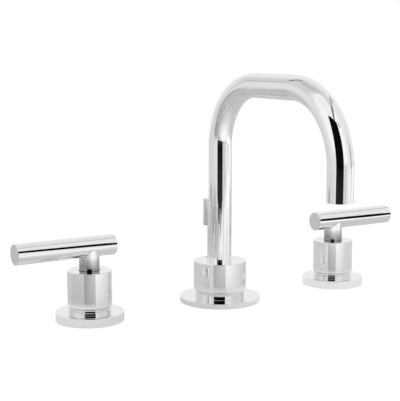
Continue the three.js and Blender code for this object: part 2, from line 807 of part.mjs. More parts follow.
// A groove cut into the socket's wall for one O-ring.
function socketGroove(height) {
  const half = tubeRingSection + seatGap;
  return drum(ringGrooveRadius, height - half, height + half, plainSides);
}

// The brass body: socket for the tube, flange on the escutcheon, shank through the deck.
// A flute down its back clears the lift rod and its guide.
function spoutBody() {
  const body = turned(
    [
      [shankBoreRadius, shankBottom],
      [shankRadius, shankBottom],
      [shankRadius, spoutBodyBottom],
      [collarInner - seatGap, spoutBodyBottom],
      [collarInner - seatGap, spoutBodyFlangeTop],
      [spoutBodyRadius, spoutBodyFlangeTop],
      [spoutBodyRadius, spoutBodyTop],
      [socketRadius, spoutBodyTop],
      [socketRadius, socketFloor],
      [shankBoreRadius, socketFloor],
    ],
    plainSides,
  );
  return cut(
    body,
    socketGroove(lowerTubeRingHeight),
    socketGroove(upperTubeRingHeight),
    spoke(setScrewHoleRadius, 0, spoutBodyRadius + cutOverrun, spoutScrewHeight, spoutScrewAngle),
    rodHole(guideRadius + seatGap, spoutBodyBottom, spoutBodyTop),
  );
}

// The spout's escutcheon: flange, floor and collar in one.
function spoutEscutcheon() {
  const recessDepth = gasketHeight + seatGap;
  const plate = turned(
    [
      [shankFit, 0],
      [spoutGasketInner - seatGap, 0],
      [spoutGasketInner - seatGap, recessDepth],
      [spoutGasketOuter + seatGap, recessDepth],
      [spoutGasketOuter + seatGap, 0],
      [spoutFlangeRadius, 0],
      [spoutFlangeRadius, spoutFlangeHeight - flangeBevel],
      [spoutFlangeRadius - flangeBevel, spoutFlangeHeight],
      [spoutCollarRadius, spoutFlangeHeight],
      [spoutCollarRadius, spoutCollarTop],
      [collarInner, spoutCollarTop],
      [collarInner, spoutFlangeHeight],
      [shankFit, spoutFlangeHeight],
    ],
    wideSides,
  );
  return cut(plate, rodHole(rodRadius + seatGap, 0, spoutFlangeHeight));
}

// A washer under the deck round the shank, with a hole for the lift rod.
const spoutWasher = (outer, bottom, top) =>
  cut(drum(outer, bottom, top, plainSides, shankFit), rodHole(rodPassRadius, bottom, top));

// The tee: a socket over the shank's end and a threaded branch to each side.
function spoutTee() {
  const ledge = shankBottom - teeWasherHeight - 2 * seatGap;
  const chamberBottom = teeBranchHeight - outletBoreRadius;
  const shell = turned(
    [
      [0, teeBottom],
      [teeRadius, teeBottom],
      [teeRadius, teeTop],
      [shankFit, teeTop],
      [shankFit, ledge],
      [shankBoreRadius, ledge],
      [shankBoreRadius, chamberBottom],
      [0, chamberBottom],
    ],
    plainSides,
  );
  const branchStart = (shankBoreRadius + teeRadius) / 2;
  const branchEnd = teeRadius + teeBranchLength;
  const sides = [0, Math.PI];
  const branches = sides.map((angle) =>
    spoke(outletThreadRadius, branchStart, branchEnd, teeBranchHeight, angle, plainSides),
  );
  const bores = sides.map((angle) =>
    spoke(outletBoreRadius, 0, branchEnd + cutOverrun, teeBranchHeight, angle),
  );
  return cut(join(shell, ...branches), ...bores);
}

function teeWasher() {
  const top = shankBottom - seatGap;
  return drum(shankRadius, top - teeWasherHeight, top, plainSides, shankBoreRadius + seatGap);
}

// The knob, with a blind hole from below for the rod.
function liftKnob() {
  const top = knobBottom + knobHeight;
  const socket = knobBottom + knobSocketDepth + seatGap;
  const knob = turned(
    [
      [rodRadius + seatGap, knobBottom],
      [knobRadius - knobBevel, knobBottom],
      [knobRadius, knobBottom + knobBevel],
      [knobRadius, top - knobBevel],
      [knobRadius - knobBevel, top],
      [0, top],
      [0, socket],
      [rodRadius + seatGap, socket],
    ],
    barSides,
  );
  return knob.translate(0, rodOffset, 0);
}

// The spout with everything that it carries, and its lift rod.
function spout() {
  const screwEnd = spoutHubRadius - spoutScrewRecess;
  const rodTop = knobBottom + knobSocketDepth;
  const deckWasherOuter = rodOffset + spoutWasherMargin;
  const clampWasherOuter = rodOffset + spoutClampWasherMargin;
  const nutFlats = 2 * (shankRadius + spoutNutMargin);
  const group = new THREE.Group();
  group.add(
    piece("spout_tube", spoutTube(), chrome()),
    piece("spout_hub", spoutHub(), chrome()),
    piece("spout_escutcheon", spoutEscutcheon(), chrome()),
    piece(
      "spout_gasket",
      drum(spoutGasketOuter, 0, gasketHeight, wideSides, spoutGasketInner),
      rubber(),
    ),
    piece("spout_body", spoutBody(), brass()),
    piece("upper_tube_o_ring", tubeORing(upperTubeRingHeight), rubber()),
    piece("lower_tube_o_ring", tubeORing(lowerTubeRingHeight), rubber()),
    piece(
      "spout_set_screw",
      spoke(setScrewRadius, socketRadius, screwEnd, spoutScrewHeight, spoutScrewAngle),
      steel(),
    ),
    piece("aerator_housing", aeratorHousing(), chrome()),
    piece("aerator_insert", aeratorInsert(), nylon()),
    piece("aerator_washer", aeratorWasher(), rubber()),
    piece(
      "lift_rod",
      drum(rodRadius, teeBottom - rodTail, rodTop, thinSides).translate(0, rodOffset, 0),
      chrome(),
    ),
    piece("lift_knob", liftKnob(), chrome()),
    piece("rod_guide", rodGuide(), nylon()),
    piece(
      "spout_deck_washer",
      spoutWasher(deckWasherOuter, deckWasherBottom, deckWasherTop),
      rubber(),
    ),
    piece(
      "spout_clamp_washer",
      spoutWasher(clampWasherOuter, clampWasherBottom, clampWasherTop),
      steel(),
    ),
    piece("spout_mounting_nut", hexRing(nutFlats, nutBottom, nutTop, shankFit), brass()),
    piece("spout_tee", spoutTee(), brass()),
    piece("tee_washer", teeWasher(), rubber()),
  );
  return group;
}

const faucet = new THREE.Group();
faucet.add(handleValve(-1), handleValve(1), spout());

export default faucet;
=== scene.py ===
"""Looks of a widespread bathroom faucet: two lever valves beside an arched spout with a lift rod.

The deck plane is z = 0, -Y points to the user and +X runs along the row to the right handle.
Pieces are built in millimetres, and dress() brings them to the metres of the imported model.
"""

import json
import math
from itertools import product
from types import SimpleNamespace as Sizes

import bmesh
import bpy
import numpy as np
from mathutils import Matrix, Vector

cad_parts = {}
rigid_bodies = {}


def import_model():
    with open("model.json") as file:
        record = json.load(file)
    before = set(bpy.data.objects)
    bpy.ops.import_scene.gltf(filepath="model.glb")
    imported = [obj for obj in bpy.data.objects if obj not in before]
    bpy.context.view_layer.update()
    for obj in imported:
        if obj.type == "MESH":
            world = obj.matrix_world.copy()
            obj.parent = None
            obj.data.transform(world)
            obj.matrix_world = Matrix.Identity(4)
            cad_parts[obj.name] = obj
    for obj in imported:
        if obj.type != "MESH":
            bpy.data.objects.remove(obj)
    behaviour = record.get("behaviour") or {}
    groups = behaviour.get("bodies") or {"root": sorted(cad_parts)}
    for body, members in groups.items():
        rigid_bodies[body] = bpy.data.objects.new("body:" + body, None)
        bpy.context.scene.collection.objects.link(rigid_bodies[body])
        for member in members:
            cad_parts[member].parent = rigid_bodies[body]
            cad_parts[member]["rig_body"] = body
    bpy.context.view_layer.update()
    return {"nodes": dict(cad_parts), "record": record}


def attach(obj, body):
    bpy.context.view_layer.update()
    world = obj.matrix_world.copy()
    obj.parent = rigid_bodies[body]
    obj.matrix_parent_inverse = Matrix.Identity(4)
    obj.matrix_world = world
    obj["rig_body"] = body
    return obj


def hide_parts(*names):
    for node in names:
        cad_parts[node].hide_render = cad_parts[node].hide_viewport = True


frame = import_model()

METRES = 0.001
HANDS = {"left": -1, "right": 1}
HANDLE_SPACING = 203.2
BACK = math.pi / 2  # the direction of +Y as an angle from +X

# Mesh fineness
WIDE_SIDES = 128  # hubs and escutcheons
BAR_SIDES = 96  # tube, bars, necks, knob
PLAIN_SIDES = 64
THIN_SIDES = 32
RING_STEPS = 20  # round the section of an O-ring
ARC_STEP = math.radians(15)  # of a rounded corner
BEND_STEPS = 48  # of each bend of the tube
THREAD_STEPS = 40  # points on each turn of a thread
SHARP_ANGLE = math.radians(32)
MERGE = 1e-4

# Fits
SEAT = 0.08  # between two chromed pieces that meet in view
FIT = 0.3  # between pieces inside
OVERRUN = 1.0  # of a cutting shape past the surface that it cuts


def new_piece(mesh):
    piece = bpy.data.objects.new(mesh.name, mesh)
    bpy.context.scene.collection.objects.link(piece)
    return piece


def discard(piece):
    mesh = piece.data
    bpy.data.objects.remove(piece)
    bpy.data.meshes.remove(mesh)


def rounded(corners, closed):
    """An outline of (radius, height) points. A corner's third number rounds it."""
    count = len(corners)
    points = []
    for i, corner in enumerate(corners):
        here = np.array(corner[:2], float)
        size = corner[2] if len(corner) > 2 else 0
        inside = closed or 0 < i < count - 1
        if size <= 0 or not inside:
            points.append(here)
            continue
        before = np.array(corners[i - 1][:2], float) - here
        after = np.array(corners[(i + 1) % count][:2], float) - here
        before /= np.linalg.norm(before)
        after /= np.linalg.norm(after)
        half = math.acos(np.clip(before @ after, -1, 1)) / 2
        reach = size / math.tan(half)
        middle = here + (before + after) / np.linalg.norm(before + after) * size / math.sin(half)
        start = here + before * reach - middle
        end = here + after * reach - middle
        turn = math.pi - 2 * half
        steps = max(2, math.ceil(turn / ARC_STEP))
        for step in range(steps + 1):
            share = step / steps
            a = math.sin((1 - share) * turn) / math.sin(turn)
            b = math.sin(share * turn) / math.sin(turn)
            points.append(middle + start * a + end * b)
    return points


def ring(radius, height, sides):
    """One level ring of points, or a single point on the axis. Radius and height may be arrays."""
    if np.ndim(radius) == 0 and radius < MERGE:
        return np.array([[0.0, 0.0, float(height)]])
    angle = np.arange(sides) * 2 * math.pi / sides
    x, y = radius * np.cos(angle), radius * np.sin(angle)
    return np.stack([x, y, np.broadcast_to(height, sides)], 1)


def shell(rings):
    """A closed mesh through rings of points. Without single points at its ends it closes on itself."""
    verts, faces, starts = [], [], []
    for points in rings:
        starts.append(len(verts))
        verts.extend(points.tolist())
    pairs = list(zip(range(len(rings) - 1), range(1, len(rings))))
    if len(rings[0]) > 1 and len(rings[-1]) > 1:
        pairs.append((len(rings) - 1, 0))
    for a, b in pairs:
        sides = max(len(rings[a]), len(rings[b]))
        for j in range(sides):
            k = (j + 1) % sides
            quad = [starts[a] + j, starts[a] + k, starts[b] + k, starts[b] + j]
            if len(rings[a]) == 1:
                quad = [starts[a], starts[b] + k, starts[b] + j]
            if len(rings[b]) == 1:
                quad = [starts[a] + j, starts[a] + k, starts[b]]
            faces.append(quad)
    return solid(verts, faces)


def solid(corners, faces):
    mesh = bpy.data.meshes.new("shape")
    mesh.from_pydata(corners, [], faces)
    return face_out(new_piece(mesh))


def face_out(piece):
    """Merges doubled corners of a closed shape and turns its faces outwards."""
    work = bmesh.new()
    work.from_mesh(piece.data)
    bmesh.ops.remove_doubles(work, verts=work.verts, dist=MERGE)
    bmesh.ops.recalc_face_normals(work, faces=work.faces)
    work.to_mesh(piece.data)
    work.free()
    return piece


def turned(corners, sides=PLAIN_SIDES, centre=(0, 0, 0)):
    """A shape turned about a vertical axis from (radius, height, rounding) corners."""
    closed = corners[0][0] > 0
    piece = shell([ring(r, z, sides) for r, z in rounded(corners, closed)])
    return moved(piece, Matrix.Translation(centre))


def drum(radius, bottom, top, sides=PLAIN_SIDES, centre=(0, 0, 0), inner=0, edge=0):
    corners = [(inner, bottom, edge), (radius, bottom, edge), (radius, top, edge), (inner, top, edge)]
    return turned(corners, sides, centre)


def hexagon(flats, bottom, top, turn=0.0):
    return moved(drum(flats / math.sqrt(3), bottom, top, 6), Matrix.Rotation(turn, 4, "Z"))


def block(low, high):
    faces = [(0, 1, 3, 2), (4, 6, 7, 5), (0, 4, 5, 1), (2, 3, 7, 6), (0, 2, 6, 4), (1, 5, 7, 3)]
    return solid(list(product(*zip(low, high))), faces)


def moved(piece, matrix):
    """Puts a turn or shift into the piece's mesh."""
    piece.data.transform(matrix)
    return piece


def raised(piece, height):
    return moved(piece, Matrix.Translation((0, 0, height)))


def lying(angle, height):
    """The matrix that lays an upright piece along a level direction at an angle from +X."""
    turn = Matrix.Rotation(angle, 4, "Z") @ Matrix.Rotation(math.pi / 2, 4, "Y")
    return Matrix.Translation((0, 0, height)) @ turn


def spoke(radius, start, end, height, angle, sides=THIN_SIDES, edge=0):
    return moved(drum(radius, start, end, sides, edge=edge), lying(angle, height))


def plain(piece):
    """Turns a piece with modifiers into a plain mesh."""
    depsgraph = bpy.context.evaluated_depsgraph_get()
    made = bpy.data.meshes.new_from_object(piece.evaluated_get(depsgraph), depsgraph=depsgraph)
    old = piece.data
    piece.modifiers.clear()
    piece.data = made
    bpy.data.meshes.remove(old)
    return piece


def combine(piece, tools, operation):
    for tool in tools:
        modifier = piece.modifiers.new(operation.lower(), "BOOLEAN")
        modifier.object = tool
        modifier.operation = operation
        modifier.solver = "MANIFOLD"
        plain(piece)
        discard(tool)
    return piece


def cut(piece, *tools):
    return combine(piece, tools, "DIFFERENCE")


def join(piece, *tools):
    return combine(piece, tools, "UNION")


def common(piece, *tools):
    return combine(piece, tools, "INTERSECT")


def gather(piece, *others):
    """Puts other meshes beside the piece's own, in one piece."""
    work = bmesh.new()
    for part in (piece, *others):
        work.from_mesh(part.data)
    work.to_mesh(piece.data)
    work.free()
    for part in others:
        discard(part)
    return piece


def finished(piece):
    """Smooth faces, crisp edges and flats that stay flat beside a rounded edge."""
    mesh = piece.data
    mesh.shade_smooth()
    mesh.set_sharp_from_angle(angle=SHARP_ANGLE)
    modifier = piece.modifiers.new("flats", "WEIGHTED_NORMAL")
    modifier.keep_sharp = True
    return plain(piece)


# Node trees

class Nodes:
    """Adds nodes to a tree. A node's inputs go by name or number, and may be other nodes' outputs."""

    def __init__(self, tree):
        self.tree = tree

    def feed(self, socket, value):
        if isinstance(value, bpy.types.NodeSocket):
            self.tree.links.new(value, socket)
        else:
            socket.default_value = value

    def node(self, kind, values=None, **settings):
        """A node's outputs."""
        node = self.tree.nodes.new(kind)
        for key, value in settings.items():
            setattr(node, key, value)
        for key, value in (values or {}).items():
            self.feed(node.inputs[key], value)
        return node.outputs

    def add(self, kind, values=None, **settings):
        """A node's first output."""
        return self.node(kind, values, **settings)[0]

    def maths(self, operation, a, b=0.0):
        return self.add("ShaderNodeMath", {0: a, 1: b}, operation=operation)

    def plus(self, a, b):
        return self.maths("ADD", a, b)

    def minus(self, a, b):
        return self.maths("SUBTRACT", a, b)

    def times(self, a, b):
        return self.maths("MULTIPLY", a, b)

    def blend(self, share, a, b):
        return self.add("ShaderNodeMix", {0: share, 2: a, 3: b})

    def vector(self, **axes):
        return self.add("ShaderNodeCombineXYZ", axes)

    def parts(self, vector):
        """The X, Y and Z of a vector."""
        return self.node("ShaderNodeSeparateXYZ", {0: vector})

    def measure(self, operation, *vectors):
        """One number from vectors."""
        return self.node("ShaderNodeVectorMath", dict(enumerate(vectors)), operation=operation)["Value"]

    def noise(self, place, scale, detail=3.0, roughness=0.5, stretch=None):
        if stretch:
            place = self.add("ShaderNodeMapping", {"Vector": place, "Scale": stretch})
        values = {"Vector": place, "Scale": scale, "Detail": detail, "Roughness": roughness}
        return self.add("ShaderNodeTexNoise", values)

    def spread(self, value, low, high, to_low=0.0, to_high=1.0):
        """The value's place between low and high, brought to between the other two numbers."""
        values = {"Value": value, "From Min": low, "From Max": high, "To Min": to_low, "To Max": to_high}
        return self.add("ShaderNodeMapRange", values)

    def bump(self, height, strength, distance):
        return self.add("ShaderNodeBump", {"Height": height, "Strength": strength, "Distance": distance})

    def group(self, tree, **values):
        return self.node("ShaderNodeGroup", values, node_tree=tree)

    def mix(self, share, a, b):
        """A blend of two colours. Each is three numbers or an output."""
        a, b = (c if isinstance(c, bpy.types.NodeSocket) else (*c, 1) for c in (a, b))
        return self.node("ShaderNodeMix", {0: share, 6: a, 7: b}, data_type="RGBA")[2]

    def light(self, strength):
        return self.add("ShaderNodeEmission", {"Color": WHITE, "Strength": strength})

    def either(self, share, a, b):
        """A mix of two shaders."""
        return self.add("ShaderNodeMixShader", {0: share, 1: a, 2: b})

    def principled(self, tone, rough, normal, others):
        values = {"Base Color": tone, "Roughness": rough, "Normal": normal, **others}
        return self.add("ShaderNodeBsdfPrincipled", values)

    def circle(self, sides, radius):
        return self.add("GeometryNodeCurvePrimitiveCircle", {"Resolution": sides, "Radius": radius})

    def sweep(self, curve, section, caps=True):
        values = {"Curve": curve, "Profile Curve": section, "Fill Caps": caps}
        return self.add("GeometryNodeCurveToMesh", values)


class Group(Nodes):
    """A node group under construction, with named inputs and outputs."""

    def __init__(self, name, kind):
        super().__init__(bpy.data.node_groups.new(name, kind))
        self.source = self.tree.nodes.new("NodeGroupInput")
        self.result = self.tree.nodes.new("NodeGroupOutput")

    def input(self, name, kind="Float", default=None):
        socket = self.tree.interface.new_socket(name, in_out="INPUT", socket_type=f"NodeSocket{kind}")
        if default is not None:
            socket.default_value = default
        return self.source.outputs[name]

    def inputs(self, *names):
        return [self.input(name) for name in names]

    def close(self, **outputs):
        """Ends the group with its named outputs."""
        for name, value in outputs.items():
            kind = {"VECTOR": "Vector", "GEOMETRY": "Geometry"}.get(value.type, "Float")
            self.tree.interface.new_socket(name, in_out="OUTPUT", socket_type=f"NodeSocket{kind}")
            self.tree.links.new(value, self.result.inputs[name])
        return self.tree

    def close_mesh(self, geometry):
        """Ends a geometry tree in Realize Instances and Set Material."""
        finish = self.input("Finish", "Material")
        real = self.add("GeometryNodeRealizeInstances", {"Geometry": geometry})
        painted = self.add("GeometryNodeSetMaterial", {"Geometry": real, "Material": finish})
        return self.close(Geometry=painted)


# Geometry Nodes: the spout's tube, thread ridges, teeth and honeycomb

def grown(tree, finish, **values):
    """The plain mesh that a tree makes with a finish and values for its inputs."""
    values["Finish"] = MATERIALS[finish]
    piece = new_piece(bpy.data.meshes.new("grown"))
    modifier = piece.modifiers.new("grow", "NODES")
    modifier.node_group = tree
    for item in tree.interface.items_tree:
        key = item.name.replace(" ", "_")
        if item.in_out == "INPUT" and key in values:
            modifier[item.identifier] = values[key]
    return face_out(plain(piece))


def arch_tree():
    """A round bar along the spout's line: up, rear bend, level run, front bend, down."""
    tree = Group("arch", "GeometryNodeTree")
    foot, top, reach, end, rear, front, radius = tree.inputs(
        "Foot", "Top", "Reach", "End", "Rear bend", "Front bend", "Radius",
    )
    index = tree.add("GeometryNodeInputIndex")
    first_half = tree.maths("LESS_THAN", index, 1.5)
    first = tree.maths("LESS_THAN", index, 0.5)
    last = tree.maths("GREATER_THAN", index, 2.5)
    forward = tree.times(tree.minus(first_half, 1.0), reach)
    drop_foot = tree.times(first, tree.minus(foot, top))
    drop_end = tree.times(last, tree.minus(end, top))
    height = tree.plus(top, tree.plus(drop_foot, drop_end))
    line = tree.add("GeometryNodeCurvePrimitiveLine")
    points = tree.add("GeometryNodeResampleCurve", {"Curve": line, "Count": 4})
    place = tree.vector(Y=forward, Z=height)
    bent = tree.add("GeometryNodeSetPosition", {"Geometry": points, "Position": place})
    values = {"Curve": bent, "Count": BEND_STEPS, "Radius": tree.blend(first_half, front, rear)}
    arch = tree.add("GeometryNodeFilletCurve", values, mode="POLY")
    return tree.close_mesh(tree.sweep(arch, tree.circle(BAR_SIDES, radius)))


def thread_tree():
    """The ridge of a screw thread: a spiral with a diamond section, half of it in the core."""
    tree = Group("thread ridge", "GeometryNodeTree")
    radius, length, pitch = tree.inputs("Radius", "Length", "Pitch")
    half = tree.times(pitch, 0.5)
    middle = tree.minus(radius, half)
    values = {"Rotations": tree.maths("DIVIDE", length, pitch), "Height": length, "Resolution": THREAD_STEPS}
    values.update({"Start Radius": middle, "End Radius": middle})
    spiral = tree.add("GeometryNodeCurveSpiral", values)
    upright = tree.add("GeometryNodeSetCurveNormal", {"Curve": spiral}, mode="Z_UP")
    return tree.close_mesh(tree.sweep(upright, tree.circle(4, half)))


def teeth_tree():
    """Equal teeth side by side round a vertical axis."""
    tree = Group("teeth", "GeometryNodeTree")
    radius, height, width, depth = tree.inputs("Radius", "Height", "Width", "Depth")
    count = tree.input("Count", "Int")
    circle = tree.add("GeometryNodeMeshCircle", {"Vertices": count, "Radius": radius})
    step = tree.maths("DIVIDE", 2 * math.pi, count)
    turn = tree.vector(Z=tree.times(tree.add("GeometryNodeInputIndex"), step))
    tooth = tree.add("GeometryNodeMeshCube", {"Size": tree.vector(X=depth, Y=width, Z=height)})
    row = {"Points": circle, "Instance": tooth, "Rotation": turn}
    return tree.close_mesh(tree.add("GeometryNodeInstanceOnPoints", row))


def honeycomb_tree():
    """Six-sided cells of thin wall, side by side within a circle."""
    tree = Group("honeycomb", "GeometryNodeTree")
    radius, cell, wall, height = tree.inputs("Radius", "Cell", "Wall", "Height")
    rows = tree.input("Rows", "Int")
    reach = tree.times(tree.minus(rows, 1.0), cell)
    sizes = {"Size X": reach, "Size Y": reach, "Vertices X": rows, "Vertices Y": rows}
    grid = tree.add("GeometryNodeMeshGrid", sizes)
    place = tree.add("GeometryNodeInputPosition")
    x, y, _ = tree.parts(place)
    odd = tree.maths("FLOORED_MODULO", tree.maths("ROUND", tree.maths("DIVIDE", y, cell)), 2.0)
    half_cell = tree.times(cell, 0.5)
    spot = tree.vector(X=tree.plus(x, tree.times(odd, half_cell)), Y=tree.times(y, math.sqrt(3) / 2))
    staggered = tree.add("GeometryNodeSetPosition", {"Geometry": grid, "Position": spot})
    outside = tree.maths("GREATER_THAN", tree.measure("LENGTH", place), tree.minus(radius, half_cell))
    values = {"Geometry": staggered, "Selection": outside}
    kept = tree.add("GeometryNodeDeleteGeometry", values, domain="POINT")
    six_sided = tree.circle(6, tree.maths("DIVIDE", cell, math.sqrt(3)))
    upright = tree.add("GeometryNodeTransform", {"Geometry": six_sided, "Rotation": (0, 0, math.pi / 6)})
    section = tree.add("GeometryNodeCurvePrimitiveQuadrilateral", {"Width": wall, "Height": height})
    comb = tree.sweep(upright, section, caps=False)
    return tree.close_mesh(tree.add("GeometryNodeInstanceOnPoints", {"Points": kept, "Instance": comb}))


def thread(radius, bottom, top, pitch, finish="turned_brass"):
    """The ridge of a thread round a core of radius - pitch / 2."""
    return raised(grown(THREAD_TREE, finish, Radius=radius, Length=top - bottom, Pitch=pitch), bottom)


def teeth(finish, radius, bottom, top, count, width, depth):
    sizes = {"Radius": radius, "Height": top - bottom, "Width": width, "Depth": depth}
    return raised(grown(TEETH_TREE, finish, Count=count, **sizes), (bottom + top) / 2)


# Shapes that more than one piece uses

SET_HOLE = 2.3
SET_SCREW = Sizes(radius=2.0, pitch=0.7, socket=2.0)
LUG_RADIUS = 3.8
CORNER_SHARE = 0.97  # of a nut's flats that its 30 degree chamfer leaves


def core_radius(screw):
    return screw.radius - screw.pitch / 2


def grub_screw(start, end, height, angle):
    """A headless screw with a cupped point at its start and a hexagon socket at its end."""
    s, core = SET_SCREW, core_radius(SET_SCREW)
    body = turned(
        [(0, start + 0.4), (core - 0.8, start, 0.05), (core, start + 0.7), (core, end - 0.3),
         (core - 0.25, end), (0, end)],
        THIN_SIDES,
    )
    socket = hexagon(s.socket, end - s.socket, end + OVERRUN)
    ridge = thread(s.radius, start + 1.0, end - 0.6, s.pitch, "bright_steel")
    return moved(gather(cut(body, socket), ridge), lying(angle, height))


def o_ring(line, section, height):
    angle = np.arange(RING_STEPS) * 2 * math.pi / RING_STEPS
    return turned([(line + section * math.cos(a), height + section * math.sin(a)) for a in angle])


def groove(surface, floor, start, end, edge=0.1):
    """The corners of a groove for an O-ring, from its start height to its end height."""
    return [(surface, start, edge), (floor, start, 0.2), (floor, end, 0.2), (surface, end, edge)]


def recess(inner, outer, depth=1.5):
    """The corners of a recess for a gasket under a flange."""
    return [(inner, 0.0), (inner, depth), (outer, depth), (outer, 0.0)]


def hex_nut(flats, bottom, top, inner):
    """A hexagon whose corners are turned off at 30 degrees, with a chamfered bore."""
    reach = flats / math.sqrt(3)
    face = flats / 2 * CORNER_SHARE
    drop = (reach - face) * math.tan(math.radians(30)) + 0.06
    cone = turned(
        [(0, bottom), (face, bottom), (reach + 0.1, bottom + drop), (reach + 0.1, top - drop), (face, top),
         (0, top)],
        WIDE_SIDES,
    )
    wide = inner + 1.7
    bore = turned(
        [(0, bottom - OVERRUN), (wide, bottom - OVERRUN), (inner, bottom + 0.7), (inner, top - 0.7),
         (wide, top + OVERRUN), (0, top + OVERRUN)],
    )
    return cut(common(hexagon(flats, bottom, top, math.pi / 6), cone), bore)


# Layers that both valves and the spout have: bottom and top of each
GASKET = (0.0, 1.2)
RUBBER_WASHER = (-23.0, -20.0)
STEEL_WASHER = (-24.8, -23.3)
NUT = (-33.1, -25.1)
BRANCH = Sizes(radius=7.2, bore=4.5, thread=7.9, pitch=1.4, edge=0.4)  # the pipes that hoses screw on


# Pieces of a handle valve

BAR = Sizes(radius=6.8, axis=48.7, reach=51.7, tail=17.6, edge=0.35)
NECK = Sizes(radius=6.7, bottom=33.36, spigot=3.5, tapping=2.8)
NECK_SCREW = Sizes(radius=2.5, tip=43.1, head=4.2, bottom=26.5, top=30.0, flats=4.0, socket=2.0, pitch=0.8)
HUB = Sizes(radius=14.6, bottom=10.0, top=33.3, cavity=12.6, roof=30.3)
BOSS = Sizes(radius=8.0, bore=5.4, bottom=14.0)
SET_HEIGHT = 20.0
STEM = Sizes(radius=4.6, spline=4.0, top=25.0, foot=-41.6)
HOUSING = Sizes(radius=9.0, root=8.1, bore=4.9, foot=8.3, disc_bore=7.4, bottom=-51.5, top=13.0, step=-30.0)
DISC_RADIUS = 7.1
VALVE_BORE = 12.3  # of what the valve body passes through
VALVE_OUTLET = -45.0
VALVE = Sizes(radius=12.0, pitch=1.5, inlet=10.4, inlet_core=9.7)


def lever_bar(side):
    """Built along its own axis, with its long end outwards."""
    b = BAR
    face = b.radius - 0.6
    hidden = NECK.radius - 0.2
    bar = turned(
        [(0, -b.tail), (face, -b.tail), (b.radius, -b.tail, b.edge), (b.radius, -hidden),
         (b.radius, hidden), (b.radius, b.reach, b.edge), (face, b.reach), (0, b.reach)],
        BAR_SIDES,
    )
    moved(bar, lying(0 if side > 0 else math.pi, b.axis))
    return cut(bar, drum(NECK.spigot + SEAT, b.axis - b.radius - OVERRUN, b.axis + FIT))


def lever_neck():
    """A post whose top is hollowed to the bar. Its rings follow the bar's underside."""
    r, bottom, spigot = NECK.radius, NECK.bottom, NECK.spigot
    saddle = BAR.radius + SEAT
    across = np.sin(np.arange(BAR_SIDES) * 2 * math.pi / BAR_SIDES)

    def under_bar(radius):
        return BAR.axis - np.sqrt(saddle**2 - (radius * across) ** 2)

    tip = NECK_SCREW.tip + FIT
    wall_top = under_bar(r) - 0.12
    rings = [
        (0, tip), (NECK.tapping, tip), (NECK.tapping, bottom), (r - 0.2, bottom), (r - 0.06, bottom + 0.06),
        (r, bottom + 0.2), *[(r, (bottom + 0.2) * (1 - s) + wall_top * s) for s in (0.3, 0.6, 0.85, 1)],
        *[(radius, under_bar(radius)) for radius in (r - 0.12, 5.8, 5.0, 4.2, spigot)],
        (spigot, BAR.axis - 0.3), (spigot - 0.3, BAR.axis), (0, BAR.axis),
    ]
    return shell([ring(radius, height, BAR_SIDES) for radius, height in rings])


def neck_screw():
    s, core = NECK_SCREW, core_radius(NECK_SCREW)
    screw = turned(
        [(0, s.bottom), (s.head, s.bottom, 0.4), (s.head, s.top, 0.1), (s.radius, s.top),
         (s.radius, s.top + 1.5), (core, s.top + 1.9), (core, s.tip - 0.3), (core - 0.3, s.tip), (0, s.tip)],
    )
    return gather(
        cut(screw, hexagon(s.flats, s.bottom - OVERRUN, s.bottom + s.socket)),
        thread(s.radius, s.top + 2.0, s.tip - 0.8, s.pitch, "bright_steel"),
        teeth("bright_steel", s.head - 0.05, s.bottom + 0.5, s.top - 0.3, 36, 0.35, 0.18),
    )


def hub():
    """A cap that turns, with a boss inside for the stem."""
    r, bottom, top, cavity, roof = HUB.radius, HUB.bottom, HUB.top, HUB.cavity, HUB.roof
    cap = turned(
        [(NECK.tapping, top, 0.1), (r, top, 0.45), (r, SET_HEIGHT + 4), (r, SET_HEIGHT - 4),
         (r, bottom, 0.25), (cavity, bottom, 0.2), (cavity, roof, 0.6), (BOSS.radius, roof, 0.6),
         (BOSS.radius, BOSS.bottom, 0.3), (BOSS.bore, BOSS.bottom, 0.3), (BOSS.bore, roof),
         (NECK.tapping, roof)],
        WIDE_SIDES,
    )
    lug = spoke(LUG_RADIUS, 6.7, 13.6, SET_HEIGHT, BACK)
    return cut(join(cap, lug), spoke(SET_HOLE, 4.0, r + OVERRUN, SET_HEIGHT, BACK))


def hub_set_screw():
    return grub_screw(5.4, 13.7, SET_HEIGHT, BACK)


def stem_adapter():
    sleeve = drum(5.1, 15.0, 25.0, inner=4.4, edge=0.15)
    return gather(sleeve, teeth("white_nylon", 4.42, 15.3, 24.7, 20, 0.35, 0.16))


def cartridge_stem():
    s = STEM
    stem = turned(
        [(0, s.foot), (DISC_RADIUS, s.foot, 0.2), (DISC_RADIUS, -38.6, 0.3), (s.radius, -38.6, 0.4),
         *groove(s.radius, 3.2, 4.15, 5.85), (s.radius, 14.0, 0.4), (s.spline, 14.0), (s.spline, s.top, 0.3),
         (0, s.top)],
    )
    tang = block((-5.02, -1.7, -42.8), (5.02, 1.7, -40.0))
    return gather(join(stem, tang), teeth("turned_brass", s.spline, 14.3, 24.6, 24, 0.4, 0.18))


def stem_o_ring():
    return o_ring(line=4.05, section=0.55, height=5.0)


def ceramic_disc(bottom, top, turn):
    """Two quarter-round ports on opposite sides of a web."""
    disc = drum(DISC_RADIUS, bottom, top, edge=0.15)
    for sign in (-1, 1):
        port = drum(4.6, bottom - OVERRUN, top + OVERRUN)
        near, far = sorted((sign * 1.5, sign * 6.0))
        disc = cut(disc, common(port, block((near, near, bottom - 2), (far, far, top + 2))))
    return moved(disc, Matrix.Rotation(turn, 4, "Z"))


def rotating_disc():
    """The upper disc, with the slot that the stem's tang turns."""
    return cut(ceramic_disc(-45.4, -41.9, math.pi / 2), block((-7.4, -2.0, -43.1), (7.4, 2.0, -40.9)))


def fixed_disc():
    return ceramic_disc(-49.2, -45.7, 0)


def seat_seal():
    return drum(DISC_RADIUS, -52.7, -49.5, inner=5.0, edge=0.4)


